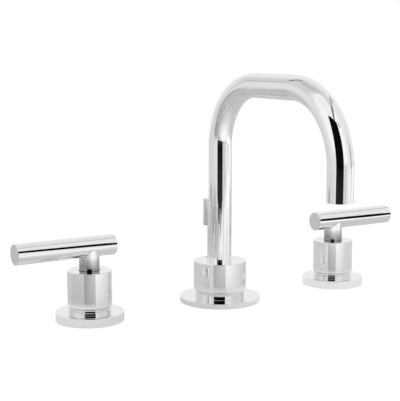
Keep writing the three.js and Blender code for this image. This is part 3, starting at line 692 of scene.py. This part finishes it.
def cartridge_housing():
    h, r = HOUSING, HOUSING.radius
    sleeve = turned(
        [(h.disc_bore, h.bottom, 0.2), (h.foot, h.bottom, 0.3), (h.foot, h.step, 0.2), (r, h.step, 0.3),
         *groove(r, 7.5, -4.9, -3.1), (r, -0.5, 0.1), (h.root, -0.5, 0.1), (h.root, 7.5, 0.1), (r, 7.5, 0.1),
         (r, h.top, 0.3), (h.bore, h.top, 0.3), (h.bore, -38.3), (h.disc_bore, -38.3, 0.3)],
    )
    windows = block((-r, -3.5, -42.6), (r, 3.5, -38.6))
    ridge = thread(r, 0.0, 7.2, 1.0)
    return gather(cut(join(sleeve, hex_nut(20.0, 8.8, h.top, 7.0)), windows), ridge)


def housing_o_ring():
    return o_ring(line=8.4, section=0.6, height=-4.0)


def valve_body(side):
    """Built with its outlet towards the middle of the faucet."""
    v, b, core = VALVE, BRANCH, core_radius(VALVE)
    barrel = turned(
        [(5.5, -78.0, 0.4), (v.inlet_core, -78.0, 0.6), (v.inlet_core, -56.0), (14.0, -56.0, 0.6),
         (14.0, -36.0, 0.6), (core, -36.0, 0.2), (core, 8.5, 0.5), (9.3, 8.5, 0.4), (9.3, -53.0, 0.3),
         (5.5, -53.0, 0.4)],
        WIDE_SIDES,
    )
    inwards = 0 if side < 0 else math.pi
    stub = spoke(b.radius, 11.65, 27.0, VALVE_OUTLET, inwards, PLAIN_SIDES, b.edge)
    bore = spoke(b.bore, 2.0, 28.0, VALVE_OUTLET, inwards)
    flats = [block((-20, y, -53.5), (20, y + 6, -38.5)) for y in (12.4, -18.4)]
    outlet = moved(thread(b.thread, 15.5, 26.4, b.pitch), lying(inwards, VALVE_OUTLET))
    return gather(
        cut(join(barrel, stub), bore, *flats),
        thread(v.radius, -35.2, 7.9, v.pitch),
        thread(v.inlet, -77.2, -57.0, b.pitch),
        outlet,
    )


def escutcheon():
    """Flange and collar in one, with a V groove round the collar and a recess under the flange."""
    flange, rim, collar, top = 22.5, 5.8, 14.0, 9.7
    groove_height, groove_depth = 8.0, 0.75
    return turned(
        [(VALVE_BORE, 0.0), *recess(16.0, 21.3), (flange, 0.0, 0.15), (flange, rim, 0.2), (collar, rim, 0.15),
         (collar, groove_height - groove_depth), (collar - groove_depth, groove_height),
         (collar, groove_height + groove_depth), (collar, top, 0.2), (VALVE_BORE, top, 0.2)],
        WIDE_SIDES,
    )


def escutcheon_gasket():
    return drum(21.0, *GASKET, WIDE_SIDES, inner=16.3, edge=0.25)


def deck_washer():
    return drum(20.0, *RUBBER_WASHER, WIDE_SIDES, inner=VALVE_BORE, edge=0.5)


def clamp_washer():
    return drum(19.0, *STEEL_WASHER, WIDE_SIDES, inner=VALVE_BORE, edge=0.2)


def mounting_nut():
    return hex_nut(32.0, *NUT, VALVE_BORE)


VALVE_PIECES = (
    lever_bar, lever_neck, neck_screw, hub, hub_set_screw, stem_adapter, cartridge_stem, stem_o_ring,
    rotating_disc, fixed_disc, seat_seal, cartridge_housing, housing_o_ring, valve_body, escutcheon,
    escutcheon_gasket, deck_washer, clamp_washer, mounting_nut,
)
SIDED_PIECES = (lever_bar, valve_body)  # made for the side that they are on


# Pieces of the spout

ARCH = Sizes(foot=9.3, top=152.3, reach=129.9, end=86.1, rear=42.3, front=46.5)
TUBE = Sizes(radius=8.1, bore=6.4, mouth=6.9, mouth_depth=12.0)
OUTLET = (0, -ARCH.reach, ARCH.end)
ROD = (0, 13.6, 0)
SCREW_ANGLE = math.pi / 4
SCREW_HEIGHT = 17.0
SPOUT_HUB = Sizes(radius=18.5, bottom=8.8, top=28.8, cavity=16.7, roof=25.8)
SHANK = Sizes(radius=7.0, pitch=1.25, bore=4.8, hole=7.3)
SOCKET = 8.4  # of the spout body, round the tube
TEE_HEIGHT = -70.0
BOTH_WAYS = (0, math.pi)


def arch_bar(radius, foot, end):
    bends = {"Rear_bend": ARCH.rear, "Front_bend": ARCH.front}
    line = {"Foot": foot, "Top": ARCH.top, "Reach": ARCH.reach, "End": end}
    return grown(ARCH_TREE, "polished_chrome", Radius=radius, **line, **bends)


def spout_tube():
    outside = arch_bar(TUBE.radius, ARCH.foot, ARCH.end)
    inside = arch_bar(TUBE.bore, ARCH.foot - OVERRUN, ARCH.end - OVERRUN)
    tube = cut(outside, inside, drum(TUBE.mouth, -2, TUBE.mouth_depth, BAR_SIDES, OUTLET))
    rim = tube.modifiers.new("rim", "BEVEL")
    rim.width = 0.3
    rim.segments = 4
    rim.limit_method = "ANGLE"
    rim.angle_limit = math.radians(60)
    return plain(tube)


def rod_hole(radius, bottom, top):
    return drum(radius, bottom - OVERRUN, top + OVERRUN, THIN_SIDES, ROD)


def spout_hub():
    h, z, snug = SPOUT_HUB, SCREW_HEIGHT, TUBE.radius + SEAT
    cap = turned(
        [(snug, h.top, 0.12), (h.radius, h.top, 0.45), (h.radius, z + 4), (h.radius, z - 4),
         (h.radius, h.bottom, 0.25), (h.cavity, h.bottom, 0.2), (h.cavity, h.roof, 0.6), (snug, h.roof)],
        WIDE_SIDES,
    )
    lug = spoke(LUG_RADIUS, 11.6, 17.6, z, SCREW_ANGLE)
    return cut(join(cap, lug), spoke(SET_HOLE, 8.0, 20.0, z, SCREW_ANGLE), rod_hole(2.8, 23.5, h.top))


def spout_escutcheon():
    flange, top, collar = 28.2, 3.6, 17.3
    plate = turned(
        [(SHANK.hole, 0.0), *recess(18.0, 26.5), (flange, 0.0, 0.15), (flange, top, 0.2), (collar, top, 0.15),
         (collar, 8.5, 0.2), (15.6, 8.5, 0.2), (15.6, top), (SHANK.hole, top, 0.2)],
        WIDE_SIDES,
    )
    return cut(plate, rod_hole(1.9, 0.0, top))


def spout_gasket():
    return drum(26.2, *GASKET, WIDE_SIDES, inner=18.3, edge=0.25)


def spout_body():
    """Socket for the tube, flange on the escutcheon and threaded shank through the deck."""
    s, core = SHANK, core_radius(SHANK)
    foot, top = 3.9, 25.5
    body = turned(
        [(s.bore, -60.0, 0.4), (core, -60.0, 0.4), (core, foot), (15.3, foot, 0.3), (15.3, 7.9, 0.3),
         (11.3, 7.9, 0.5), (11.3, top, 0.4), (SOCKET, top, 0.4), *groove(SOCKET, 10.2, 22.55, 20.45, 0),
         *groove(SOCKET, 10.2, 13.55, 11.45, 0), (SOCKET, 9.0), (s.bore, 9.0, 0.3)],
        WIDE_SIDES,
    )
    cut(body, spoke(SET_HOLE, 6.0, 12.3, SCREW_HEIGHT, SCREW_ANGLE), rod_hole(2.8, foot, top))
    return gather(body, thread(s.radius, -59.4, 2.6, s.pitch))


def upper_tube_o_ring():
    return o_ring(line=9.15, section=0.75, height=21.5)


def lower_tube_o_ring():
    return o_ring(line=9.15, section=0.75, height=12.5)


def spout_set_screw():
    return grub_screw(8.4, 17.4, SCREW_HEIGHT, SCREW_ANGLE)


def aerator_housing():
    housing = turned(
        [(4.6, 0.3, 0.15), (6.55, 0.3, 0.25), (6.55, 9.7, 0.3), (5.4, 9.7, 0.1), (5.4, 1.1),
         (4.6, 1.1, 0.1)],
        PLAIN_SIDES, OUTLET,
    )
    notches = teeth("polished_chrome", 6.5, 0.4, 1.3, 24, 0.5, 0.2)
    return gather(housing, moved(notches, Matrix.Translation(OUTLET)))


def aerator_insert():
    """A ring filled with a honeycomb that breaks the water into fine streams."""
    rim = drum(5.1, 1.4, 9.7, inner=4.5, edge=0.12)
    comb = grown(HONEYCOMB_TREE, "white_nylon", Radius=4.75, Cell=1.25, Wall=0.22, Height=5.0, Rows=11)
    sieve = drum(4.6, 7.1, 7.6)
    return moved(gather(rim, raised(comb, 4.3), sieve), Matrix.Translation(OUTLET))


def aerator_washer():
    return drum(6.6, 10.0, 11.7, PLAIN_SIDES, OUTLET, inner=4.6, edge=0.3)


def lift_rod():
    radius, bottom, top = 1.6, -92.0, 65.0
    return turned([(0, bottom), (radius, bottom, 0.3), (radius, top, 0.3), (0, top)], THIN_SIDES, ROD)


def lift_knob():
    radius, bore, bottom, top, bore_top = 4.7, 1.68, 52.0, 71.0, 65.3
    return turned(
        [(0, bore_top), (bore, bore_top), (bore, bottom, 0.1), (radius, bottom, 0.35), (radius, top, 0.35),
         (0, top)],
        BAR_SIDES, ROD,
    )


def rod_guide():
    return drum(2.7, 23.5, 28.5, THIN_SIDES, ROD, inner=1.75, edge=0.2)


def spout_washer(outer, bottom, top, edge):
    washer = drum(outer, bottom, top, WIDE_SIDES, inner=SHANK.hole, edge=edge)
    return cut(washer, rod_hole(2.2, bottom, top))


def spout_deck_washer():
    return spout_washer(24.0, *RUBBER_WASHER, 0.5)


def spout_clamp_washer():
    return spout_washer(22.0, *STEEL_WASHER, 0.2)


def spout_mounting_nut():
    return hex_nut(19.0, *NUT, SHANK.hole)


def spout_tee():
    b, r = BRANCH, 10.5
    tee = turned(
        [(0, -80.0), (r, -80.0, 1.2), (r, -48.0, 0.6), (SHANK.hole, -48.0, 0.5), (SHANK.hole, -62.1),
         (4.8, -62.1, 0.2), (4.8, -74.5, 0.6), (0, -74.5)],
        WIDE_SIDES,
    )
    join(tee, *[spoke(b.radius, 7.65, 28.0, TEE_HEIGHT, angle, PLAIN_SIDES, b.edge) for angle in BOTH_WAYS])
    cut(tee, *[spoke(b.bore, 1.0, 29.0, TEE_HEIGHT, angle) for angle in BOTH_WAYS])
    cut(tee, *[block((-7, y, -60.0), (7, y + 4, -50.0)) for y in (9.6, -13.6)])
    ridges = [thread(b.thread, 12.0, 27.4, b.pitch) for angle in BOTH_WAYS]
    return gather(tee, *[moved(ridge, lying(angle, TEE_HEIGHT)) for ridge, angle in zip(ridges, BOTH_WAYS)])


def tee_washer():
    return drum(7.0, -61.8, -60.3, inner=5.1, edge=0.3)


SPOUT_PIECES = (
    spout_tube, spout_hub, spout_escutcheon, spout_gasket, spout_body, upper_tube_o_ring, lower_tube_o_ring,
    spout_set_screw, aerator_housing, aerator_insert, aerator_washer, lift_rod, lift_knob, rod_guide,
    spout_deck_washer, spout_clamp_washer, spout_mounting_nut, spout_tee, tee_washer,
)


# Finishes: every material takes its detail from these shared groups

WHITE = (1, 1, 1, 1)
CHROME_TONE = (0.90, 0.905, 0.91)
FILM_SHARE = 0.975  # of the chrome's tone that a film leaves
# Painted shade at the neck feet and on the collars under the hubs: its tone, and the share of it that the
# collars get
PAINTED_SHADE_TONE = (0.24, 0.24, 0.24)
COLLAR_SHADE_SHARE = 0.2
# Where the collars' painted shade is: radius, bottom and top of the handles' and of the spout's
HANDLE_SHADED_COLLAR = (14.1, 5.85, 9.8)
SPOUT_SHADED_COLLAR = (17.4, 3.65, 8.6)


def shader_group(name, **numbers):
    """An empty group that reads a place and numbers, and the outputs that give them inside it."""
    group = Group(name, "ShaderNodeTree")
    place = group.input("Place", "Vector")
    return group, place, *[group.input(key, default=value) for key, value in numbers.items()]


def handling_group():
    """Where hands and water leave a film: broad patches and small dried spots."""
    group, place = shader_group("handling marks")
    broad = group.noise(place, 38.0, 4.0, 0.55)
    fine = group.noise(place, 210.0, 3.0, 0.6)
    film_and_shade = group.times(group.spread(broad, 0.42, 0.7), group.spread(fine, 0.3, 0.7, 0.5, 1.0))
    cells = group.node("ShaderNodeTexVoronoi", {"Vector": place, "Scale": 160.0})["Distance"]
    near = group.spread(cells, 0.10, 0.05)
    chosen = group.maths("GREATER_THAN", group.noise(place, 60.0, 1.0), 0.6)
    return group.close(Film=film_and_shade, Spots=group.times(near, chosen))


def waviness_group():
    """The slight unevenness that polishing leaves, as a normal."""
    group, place, strength, scale = shader_group("polished unevenness", Strength=0.02, Scale=90.0)
    return group.close(Normal=group.bump(group.noise(place, scale, 2.0, 0.4), strength, 0.001))


def joint_group():
    """Painted shade: darker towards the foot of each neck, and a band on the collars under the hubs."""
    group, place = shader_group("joint film")
    x, y, z = group.parts(place)
    from_row = group.minus(group.maths("ABSOLUTE", x), HANDLE_SPACING / 2 * METRES)
    from_handle = group.measure("LENGTH", group.vector(X=from_row, Y=y))
    from_spout = group.measure("LENGTH", group.vector(X=x, Y=y))
    foot, under_bar = NECK.bottom * METRES, (BAR.axis - BAR.radius) * METRES
    rise = group.maths("POWER", group.spread(z, foot, under_bar, 1.0, 0.0), 0.6)
    above = group.maths("GREATER_THAN", z, foot - 0.2 * METRES)
    close = group.spread(from_handle, (NECK.radius + 1.0) * METRES, (NECK.radius + 0.3) * METRES)
    # Painted shade, darkest at the neck's foot and fading up towards the bar
    film_and_shade = group.times(rise, group.times(close, above))
    for distance, (radius, low, high) in ((from_handle, HANDLE_SHADED_COLLAR), (from_spout, SPOUT_SHADED_COLLAR)):
        inside = group.maths("LESS_THAN", distance, radius * METRES)
        over = group.maths("GREATER_THAN", z, low * METRES)
        under = group.maths("LESS_THAN", z, high * METRES)
        collar = group.times(inside, group.times(over, under))
        # Painted shade band on the collars under the hubs
        film_and_shade = group.maths("MAXIMUM", film_and_shade, group.times(collar, COLLAR_SHADE_SHARE))
    uneven = group.spread(group.noise(place, 260.0), 0.3, 0.7, 0.85, 1.0)
    return group.close(Film=group.times(film_and_shade, uneven))


def lathe_group():
    """Fine rings that a cutting tool leaves round a vertical axis, as a mask and a normal."""
    group, place, pitch, strength = shader_group("tool lines", Pitch=0.00025, Strength=0.15)
    wander = group.times(group.noise(place, 300.0, 2.0), 0.00012)
    phase = group.maths("DIVIDE", group.plus(group.parts(place)["Z"], wander), pitch)
    wave = group.maths("SINE", group.times(phase, 2 * math.pi))
    grit = group.noise(place, 900.0, 3.0, 0.7, stretch=(0.15, 0.15, 3.0))
    lines = group.plus(group.times(wave, 0.25), grit)
    return group.close(Lines=lines, Normal=group.bump(lines, strength, 0.0001))


def grain_group():
    """Fine pits and lumps of moulded or sintered stuff, as a mask and a normal."""
    group, place, scale, strength = shader_group("fine grain", Scale=1500.0, Strength=0.2)
    grain = group.noise(place, scale, 4.0, 0.6)
    return group.close(Grain=grain, Normal=group.bump(grain, strength, 0.00015))


METAL = {"Metallic": 1.0}
SOFT_LIGHT = {"Subsurface Weight": 0.1, "Subsurface Radius": (0.001, 0.001, 0.001)}


def new_material(name, look):
    """A material whose surface is the shader that look(nodes, place) gives."""
    material = bpy.data.materials.new(name)
    material.use_nodes = True
    material.node_tree.nodes.clear()
    nodes = Nodes(material.node_tree)
    place = nodes.node("ShaderNodeTexCoord")["Object"]
    nodes.node("ShaderNodeOutputMaterial", {"Surface": look(nodes, place)})
    return material


def polished_chrome(nodes, place):
    marks = nodes.group(HANDLING, Place=place)
    wave = nodes.group(WAVINESS, Place=place, Strength=0.015, Scale=70.0)
    # Painted shade at the neck feet and on the collars: it darkens the tone and roughens it a little
    painted_shade = nodes.group(PAINTED_SHADE, Place=place)["Film"]
    film_and_shade = nodes.plus(marks["Film"], nodes.times(marks["Spots"], 0.4))
    tone = nodes.mix(film_and_shade, CHROME_TONE, [c * FILM_SHARE for c in CHROME_TONE])
    rough = nodes.plus(nodes.spread(film_and_shade, 0.0, 1.0, 0.015, 0.07), nodes.times(painted_shade, 0.08))
    return nodes.principled(nodes.mix(painted_shade, tone, PAINTED_SHADE_TONE), rough, wave["Normal"], METAL)


def turned_brass(nodes, place):
    lines = nodes.group(LATHE, Place=place, Strength=0.25)
    marks = nodes.group(HANDLING, Place=place)
    tarnish = nodes.spread(nodes.noise(place, 55.0, 5.0, 0.6), 0.45, 0.75)
    bright = nodes.mix(nodes.spread(lines["Lines"], 0.2, 0.9), (0.80, 0.63, 0.33), (0.70, 0.53, 0.25))
    tone = nodes.mix(nodes.times(tarnish, 0.6), bright, (0.42, 0.28, 0.12))
    rough = nodes.plus(nodes.spread(tarnish, 0.0, 1.0, 0.24, 0.42), nodes.times(marks["Film"], 0.1))
    return nodes.principled(tone, rough, lines["Normal"], METAL)


def bright_steel(nodes, place):
    grain = nodes.group(GRAIN, Place=place, Scale=700.0, Strength=0.12)
    patch = nodes.spread(nodes.noise(place, 90.0, 4.0, 0.6), 0.35, 0.7)
    tone = nodes.mix(patch, (0.64, 0.64, 0.66), (0.55, 0.56, 0.55))
    rough = nodes.plus(nodes.spread(patch, 0.0, 1.0, 0.22, 0.36), nodes.times(grain["Grain"], 0.08))
    return nodes.principled(tone, rough, grain["Normal"], METAL)


def black_rubber(nodes, place):
    grain = nodes.group(GRAIN, Place=place, Scale=1800.0, Strength=0.35)
    bloom = nodes.spread(nodes.noise(place, 120.0, 4.0, 0.6), 0.45, 0.8)
    tone = nodes.mix(nodes.times(bloom, 0.5), (0.028, 0.028, 0.029), (0.07, 0.07, 0.072))
    rough = nodes.plus(nodes.spread(bloom, 0.0, 1.0, 0.6, 0.8), nodes.times(grain["Grain"], 0.1))
    return nodes.principled(tone, rough, grain["Normal"], {})


def white_ceramic(nodes, place):
    grain = nodes.group(GRAIN, Place=place, Scale=2600.0, Strength=0.06)
    tone = nodes.mix(nodes.noise(place, 240.0), (0.90, 0.88, 0.84), (0.85, 0.82, 0.77))
    rough = nodes.spread(grain["Grain"], 0.3, 0.7, 0.16, 0.26)
    return nodes.principled(tone, rough, grain["Normal"], {})


def white_nylon(nodes, place):
    grain = nodes.group(GRAIN, Place=place, Scale=1300.0, Strength=0.15)
    tone = nodes.mix(nodes.noise(place, 150.0), (0.84, 0.84, 0.82), (0.78, 0.78, 0.75))
    rough = nodes.spread(grain["Grain"], 0.3, 0.7, 0.38, 0.55)
    return nodes.principled(tone, rough, grain["Normal"], SOFT_LIGHT)


# Stage, in metres and degrees

CAMERA = Sizes(azimuth=-31.96, elevation=8.42, distance=0.71932, target=(-0.01653, 0.0, 0.07236), lens=93.6)
# The floor's turn, left and right give painted light across it as metal shows it, and its ray lengths beside
# the metal fade in painted shade there
FLOOR = Sizes(
    front=0.43, apron=1.4, back=1.5, half_width=1.6, glow=0.8, turn=0.25, left=0.29, right=0.38,
    sheet_left=0.355, sheet_back=0.33, outside=0.48, edge=0.012, edge_tone=0.2, beside=(0.06, 0.045),
    sheen=((0.045, 0.06), (0.22, 0.15)),
)
# Painted shade on the floor next to the metal, as that metal shows it: x, level
FLOOR_SHADE_BESIDE = ((-0.12, 0.54), (-0.03, 0.41), (0.03, 0.58), (0.1, 0.62))
# Painted shadows and pools of light on the floor, as metal shows them. Each patch: x, y, radius, radius of
# its even core, tone
FLOOR_LIGHT_AND_SHADOW_PATCHES = (
    (-0.39, 0.03, 0.2, 0.08, 0.12),
    (-0.01, -0.27, 0.26, 0.1, 0.8),
    (1.0, -0.58, 0.75, 0.6, 0.8),
    (0.32, -0.28, 0.2, 0.08, 0.92),
    (-0.2, 0.0, 0.08, 0.03, 0.14),
    (-0.39, 0.37, 0.12, 0.05, 0.02),
    (-0.19, 0.37, 0.08, 0.03, 0.35),
    (-0.05, 0.125, 0.05, 0.02, 0.26),
)
OPENING = Sizes(distance=0.43, left=-0.235, right=0.185, bottom=-0.35, top=0.543)
OPENING_FADE = (-0.02, 0.08, 0.05, 0.003)  # heights, then the levels there
# Each card: its left and right x, then its lower and upper edge at the left and at the right
CARDS = {
    "left_card": (0.01, 0.13, 0.199, 0.505, 0.036, 0.264),
    "right_card": (0.395, 0.52, 0.082, 0.362, -0.048, 0.218),
}
CARD_PLANE = -0.4
CARD_NEAREST = 0.38
CARD_FADE = (0.0, 1.0, 0.003, 0.003)
STUDIO_LEVEL = 0.82
# Each panel: azimuth of its middle, half its width, bottom, top, softness sideways and upwards, level
PANELS = (
    (-150.0, 32.0, 20.0, 60.0, 10.0, 6.0, 0.7),
    (140.0, 42.0, -12.0, 52.0, 8.0, 6.0, 0.9),
    (80.0, 24.0, -12.0, 60.0, 10.0, 8.0, 0.86),
    (-93.0, 23.0, 4.0, 90.0, 7.0, 4.0, 1.0),
    (-40.0, 64.0, 49.0, 90.0, 8.0, 3.0, 0.94),
    (2.0, 24.0, -20.0, 63.0, 6.0, 4.0, 1.04),
    (42.0, 17.0, -20.0, 63.0, 6.0, 4.0, 0.88),
    (4.0, 14.0, -40.0, 1.0, 7.0, 3.0, 0.68),
    (95.0, 90.0, 71.0, 90.0, 10.0, 3.0, 0.68),
    (-152.0, 34.0, 50.0, 90.0, 10.0, 4.0, 0.58),
)
# Each seam: where it starts and ends, its width and its level
SEAMS = (
    ((-29.0, 51.0), (34.0, 68.5), 6.0, 0.1),
    ((34.0, 68.5), (100.0, 44.0), 6.0, 0.5),
    ((-180.0, 57.0), (-155.0, 33.0), 3.0, 0.12),
    ((-156.0, 36.0), (-150.0, -2.0), 2.2, 0.5),
)


def heading(azimuth, elevation):
    """A direction from angles in degrees: azimuth from the front (-Y) towards the right (+X)."""
    azimuth, elevation = math.radians(azimuth), math.radians(elevation)
    level = math.cos(elevation)
    return Vector((math.sin(azimuth) * level, -math.cos(azimuth) * level, math.sin(elevation)))


def ahead():
    """The level direction from the object to the camera, and the one to its right as the camera sees it."""
    toward = math.radians(CAMERA.azimuth)
    return Vector((math.sin(toward), -math.cos(toward), 0)), Vector((math.cos(toward), math.sin(toward), 0))


def sheet(name, corners, material):
    mesh = bpy.data.meshes.new(name)
    mesh.from_pydata([tuple(corner) for corner in corners], [], [(0, 1, 2, 3)])
    mesh.materials.append(material)
    new_piece(mesh)


def ground(near, far):
    """The corners of a stretch of the deck plane, between two distances towards the camera."""
    forward, side = ahead()
    half = FLOOR.half_width
    return [forward * a + side * b for a, b in ((near, -half), (near, half), (far, half), (far, -half))]


def pale_floor(nodes, place):
    """Pale. In metal it looks a little glossy, with a square table sheet, painted shadows and pools of light,
    and painted shade beside the metal.
    """
    f = FLOOR
    path = nodes.node("ShaderNodeLightPath")
    seen = nodes.maths("MAXIMUM", path["Is Camera Ray"], path["Is Transmission Ray"])
    tone = nodes.mix(nodes.noise(place, 14.0), (0.30, 0.30, 0.30), (0.31, 0.31, 0.31))
    x, y, _ = nodes.parts(place)
    # Painted light: in metal the floor is darker to the left and lighter to the right
    level = nodes.spread(x, -f.turn, f.turn, f.left, f.right)
    past_left = nodes.minus(nodes.times(x, -1.0), f.sheet_left)
    past = nodes.maths("MAXIMUM", past_left, nodes.minus(y, f.sheet_back))
    level = nodes.blend(nodes.spread(past, -f.edge, f.edge), level, f.outside)
    on_edge = nodes.spread(nodes.maths("ABSOLUTE", past), f.edge * 1.5, f.edge * 0.5)
    level = nodes.blend(on_edge, level, f.edge_tone)
    # Painted shadows and pools of light on the floor, as metal shows it
    for patch_x, patch_y, radius, core, patch_tone in FLOOR_LIGHT_AND_SHADOW_PATCHES:
        apart = nodes.measure("DISTANCE", place, (patch_x, patch_y, 0))
        level = nodes.blend(nodes.spread(apart, radius, core), level, patch_tone)
    # Painted shade: metal that stands close shows the floor darker
    beside = FLOOR_SHADE_BESIDE[0][1]
    for (start, _), (end, tone_there) in zip(FLOOR_SHADE_BESIDE, FLOOR_SHADE_BESIDE[1:]):
        beside = nodes.blend(nodes.spread(x, start, end), beside, tone_there)
    length = path["Ray Length"]
    level = nodes.blend(nodes.spread(length, *f.beside), level, beside)
    glow = nodes.light(nodes.blend(seen, level, f.glow))
    lit = nodes.either(nodes.maths("MAXIMUM", seen, path["Is Glossy Ray"]), nodes.light(0.0), glow)
    dull = nodes.add("ShaderNodeBsdfDiffuse", {"Color": tone})
    matt = nodes.add("ShaderNodeAddShader", {0: dull, 1: lit})
    gloss = nodes.add("ShaderNodeBsdfAnisotropic", {"Color": WHITE, "Roughness": 0.04})
    sheen = nodes.times(nodes.add("ShaderNodeFresnel", {"IOR": 1.5}), path["Is Glossy Ray"])
    for start, end in f.sheen:
        sheen = nodes.times(sheen, nodes.spread(length, start, end))
    return nodes.either(sheen, matt, gloss)


def white_apron(nodes, place):
    """White for the camera and clear for everything else."""
    white = nodes.light(nodes.spread(nodes.noise(place, 14.0), 0.3, 0.7, 1.0, 1.02))
    seen = nodes.node("ShaderNodeLightPath")["Is Camera Ray"]
    return nodes.either(seen, nodes.add("ShaderNodeBsdfTransparent"), white)


def dark_sheet(name, corners, fade, nearest=0.0):
    """A dark sheet that only metal shows. With a nearest length, nearer metal doesn't show it either."""

    def look(nodes, place):
        dark = nodes.light(nodes.spread(nodes.parts(place)["Z"], *fade))
        path = nodes.node("ShaderNodeLightPath")
        far = nodes.maths("GREATER_THAN", path["Ray Length"], nearest)
        share = nodes.times(path["Is Glossy Ray"], far)
        if nearest:  # then only a first reflection shows it
            share = nodes.times(share, nodes.maths("LESS_THAN", path["Glossy Depth"], 1.5))
        return nodes.either(share, nodes.add("ShaderNodeBsdfTransparent"), dark)

    sheet(name, corners, new_material(name, look))


def opening():
    """The dark gap in the tent that the camera looks through."""
    forward, side = ahead()
    base = forward * OPENING.distance
    left, right = base + side * OPENING.left, base + side * OPENING.right
    bottom, top = Vector((0, 0, OPENING.bottom)), Vector((0, 0, OPENING.top))
    dark_sheet("opening", [left + bottom, right + bottom, right + top, left + top], OPENING_FADE)


def black_cards():
    """Cards in front of the handles that draw a dark line along the lever bars."""
    y = CARD_PLANE
    for name, (left, right, left_low, left_high, right_low, right_high) in CARDS.items():
        corners = [(left, y, left_low), (right, y, right_low), (right, y, right_high), (left, y, left_high)]
        dark_sheet(name, corners, CARD_FADE, CARD_NEAREST)


def studio():
    """A light tent: soft panels and the dark seams between them."""
    world = bpy.data.worlds.new("studio")
    bpy.context.scene.world = world
    world.use_nodes = True
    world.node_tree.nodes.clear()
    nodes = Nodes(world.node_tree)
    direction = nodes.node("ShaderNodeTexCoord")["Generated"]
    x, y, z = nodes.parts(direction)
    azimuth = nodes.times(nodes.maths("ARCTAN2", x, nodes.times(y, -1.0)), math.degrees(1))
    elevation = nodes.times(nodes.maths("ARCSINE", z), math.degrees(1))

    def band(value, low, high, soft):
        up = nodes.spread(value, low - soft, low + soft)
        down = nodes.spread(value, high - soft, high + soft, 1.0, 0.0)
        return nodes.times(up, down)

    level = STUDIO_LEVEL
    for centre, half, low, high, soft_side, soft_rise, tone in PANELS:
        apart = nodes.minus(azimuth, centre)
        aside = nodes.add("ShaderNodeMath", {0: apart, 1: 180.0, 2: -180.0}, operation="WRAP")
        share = nodes.times(band(aside, -half, half, soft_side), band(elevation, low, high, soft_rise))
        level = nodes.blend(share, level, tone)
    for start, end, width, tone in SEAMS:
        first, last = heading(*start), heading(*end)
        middle = (first + last).normalized()
        off = nodes.measure("DOT_PRODUCT", direction, first.cross(last).normalized())
        near = nodes.measure("DOT_PRODUCT", direction, middle)
        half_width = math.radians(width) / 2
        across = nodes.spread(nodes.maths("ABSOLUTE", off), half_width * 1.4, half_width * 0.6)
        along = nodes.spread(near, first.dot(middle) - 0.01, first.dot(middle) + 0.01)
        level = nodes.blend(nodes.times(across, along), level, tone)
    path = nodes.node("ShaderNodeLightPath")
    seen = nodes.maths("MAXIMUM", path["Is Camera Ray"], path["Is Transmission Ray"])
    back = nodes.add("ShaderNodeBackground", {"Color": WHITE, "Strength": nodes.blend(seen, level, 1.0)})
    nodes.node("ShaderNodeOutputWorld", {"Surface": back})


def camera():
    data = bpy.data.cameras.new("camera")
    data.sensor_fit = "VERTICAL"
    data.sensor_width = data.sensor_height = 36
    data.lens = CAMERA.lens
    data.clip_start = 0.01
    eye = bpy.data.objects.new("camera", data)
    bpy.context.scene.collection.objects.link(eye)
    away = heading(CAMERA.azimuth, CAMERA.elevation)
    eye.location = Vector(CAMERA.target) + away * CAMERA.distance
    eye.rotation_euler = (-away).to_track_quat("-Z", "Y").to_euler()
    bpy.context.scene.camera = eye


# The faucet

ARCH_TREE, THREAD_TREE, TEETH_TREE, HONEYCOMB_TREE = (
    make() for make in (arch_tree, thread_tree, teeth_tree, honeycomb_tree)
)
HANDLING, WAVINESS, PAINTED_SHADE, LATHE, GRAIN = (
    make() for make in (handling_group, waviness_group, joint_group, lathe_group, grain_group)
)
MATERIALS = {
    look.__name__: new_material(look.__name__, look)
    for look in (polished_chrome, turned_brass, bright_steel, black_rubber, white_ceramic, white_nylon)
}
SLOTS = {item["node"]: item["material_slot"] for item in frame["record"]["subparts"]}


def dress(piece, node):
    """Brings a piece to metres, gives it its finish and lets it stand for its node."""
    piece.name = piece.data.name = f"fine_{node}"
    piece.data.transform(Matrix.Scale(METRES, 4))
    piece.data.materials.clear()
    piece.data.materials.append(MATERIALS[SLOTS[node]])
    for polygon in piece.data.polygons:
        polygon.material_index = 0
    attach(piece, frame["nodes"][node]["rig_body"])
    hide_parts(node)


for hand, side in HANDS.items():
    shift = Matrix.Translation((side * HANDLE_SPACING / 2, 0, 0))
    for make in VALVE_PIECES:
        piece = make(side) if make in SIDED_PIECES else make()
        dress(moved(finished(piece), shift), f"{hand}_{make.__name__}")
for make in SPOUT_PIECES:
    dress(finished(make()), make.__name__)

bpy.context.scene.view_settings.view_transform = "Standard"
sheet("floor", ground(FLOOR.front, -FLOOR.back), new_material("pale_floor", pale_floor))
sheet("floor_apron", ground(FLOOR.apron, FLOOR.front), new_material("white_apron", white_apron))
opening()
black_cards()
studio()
camera()
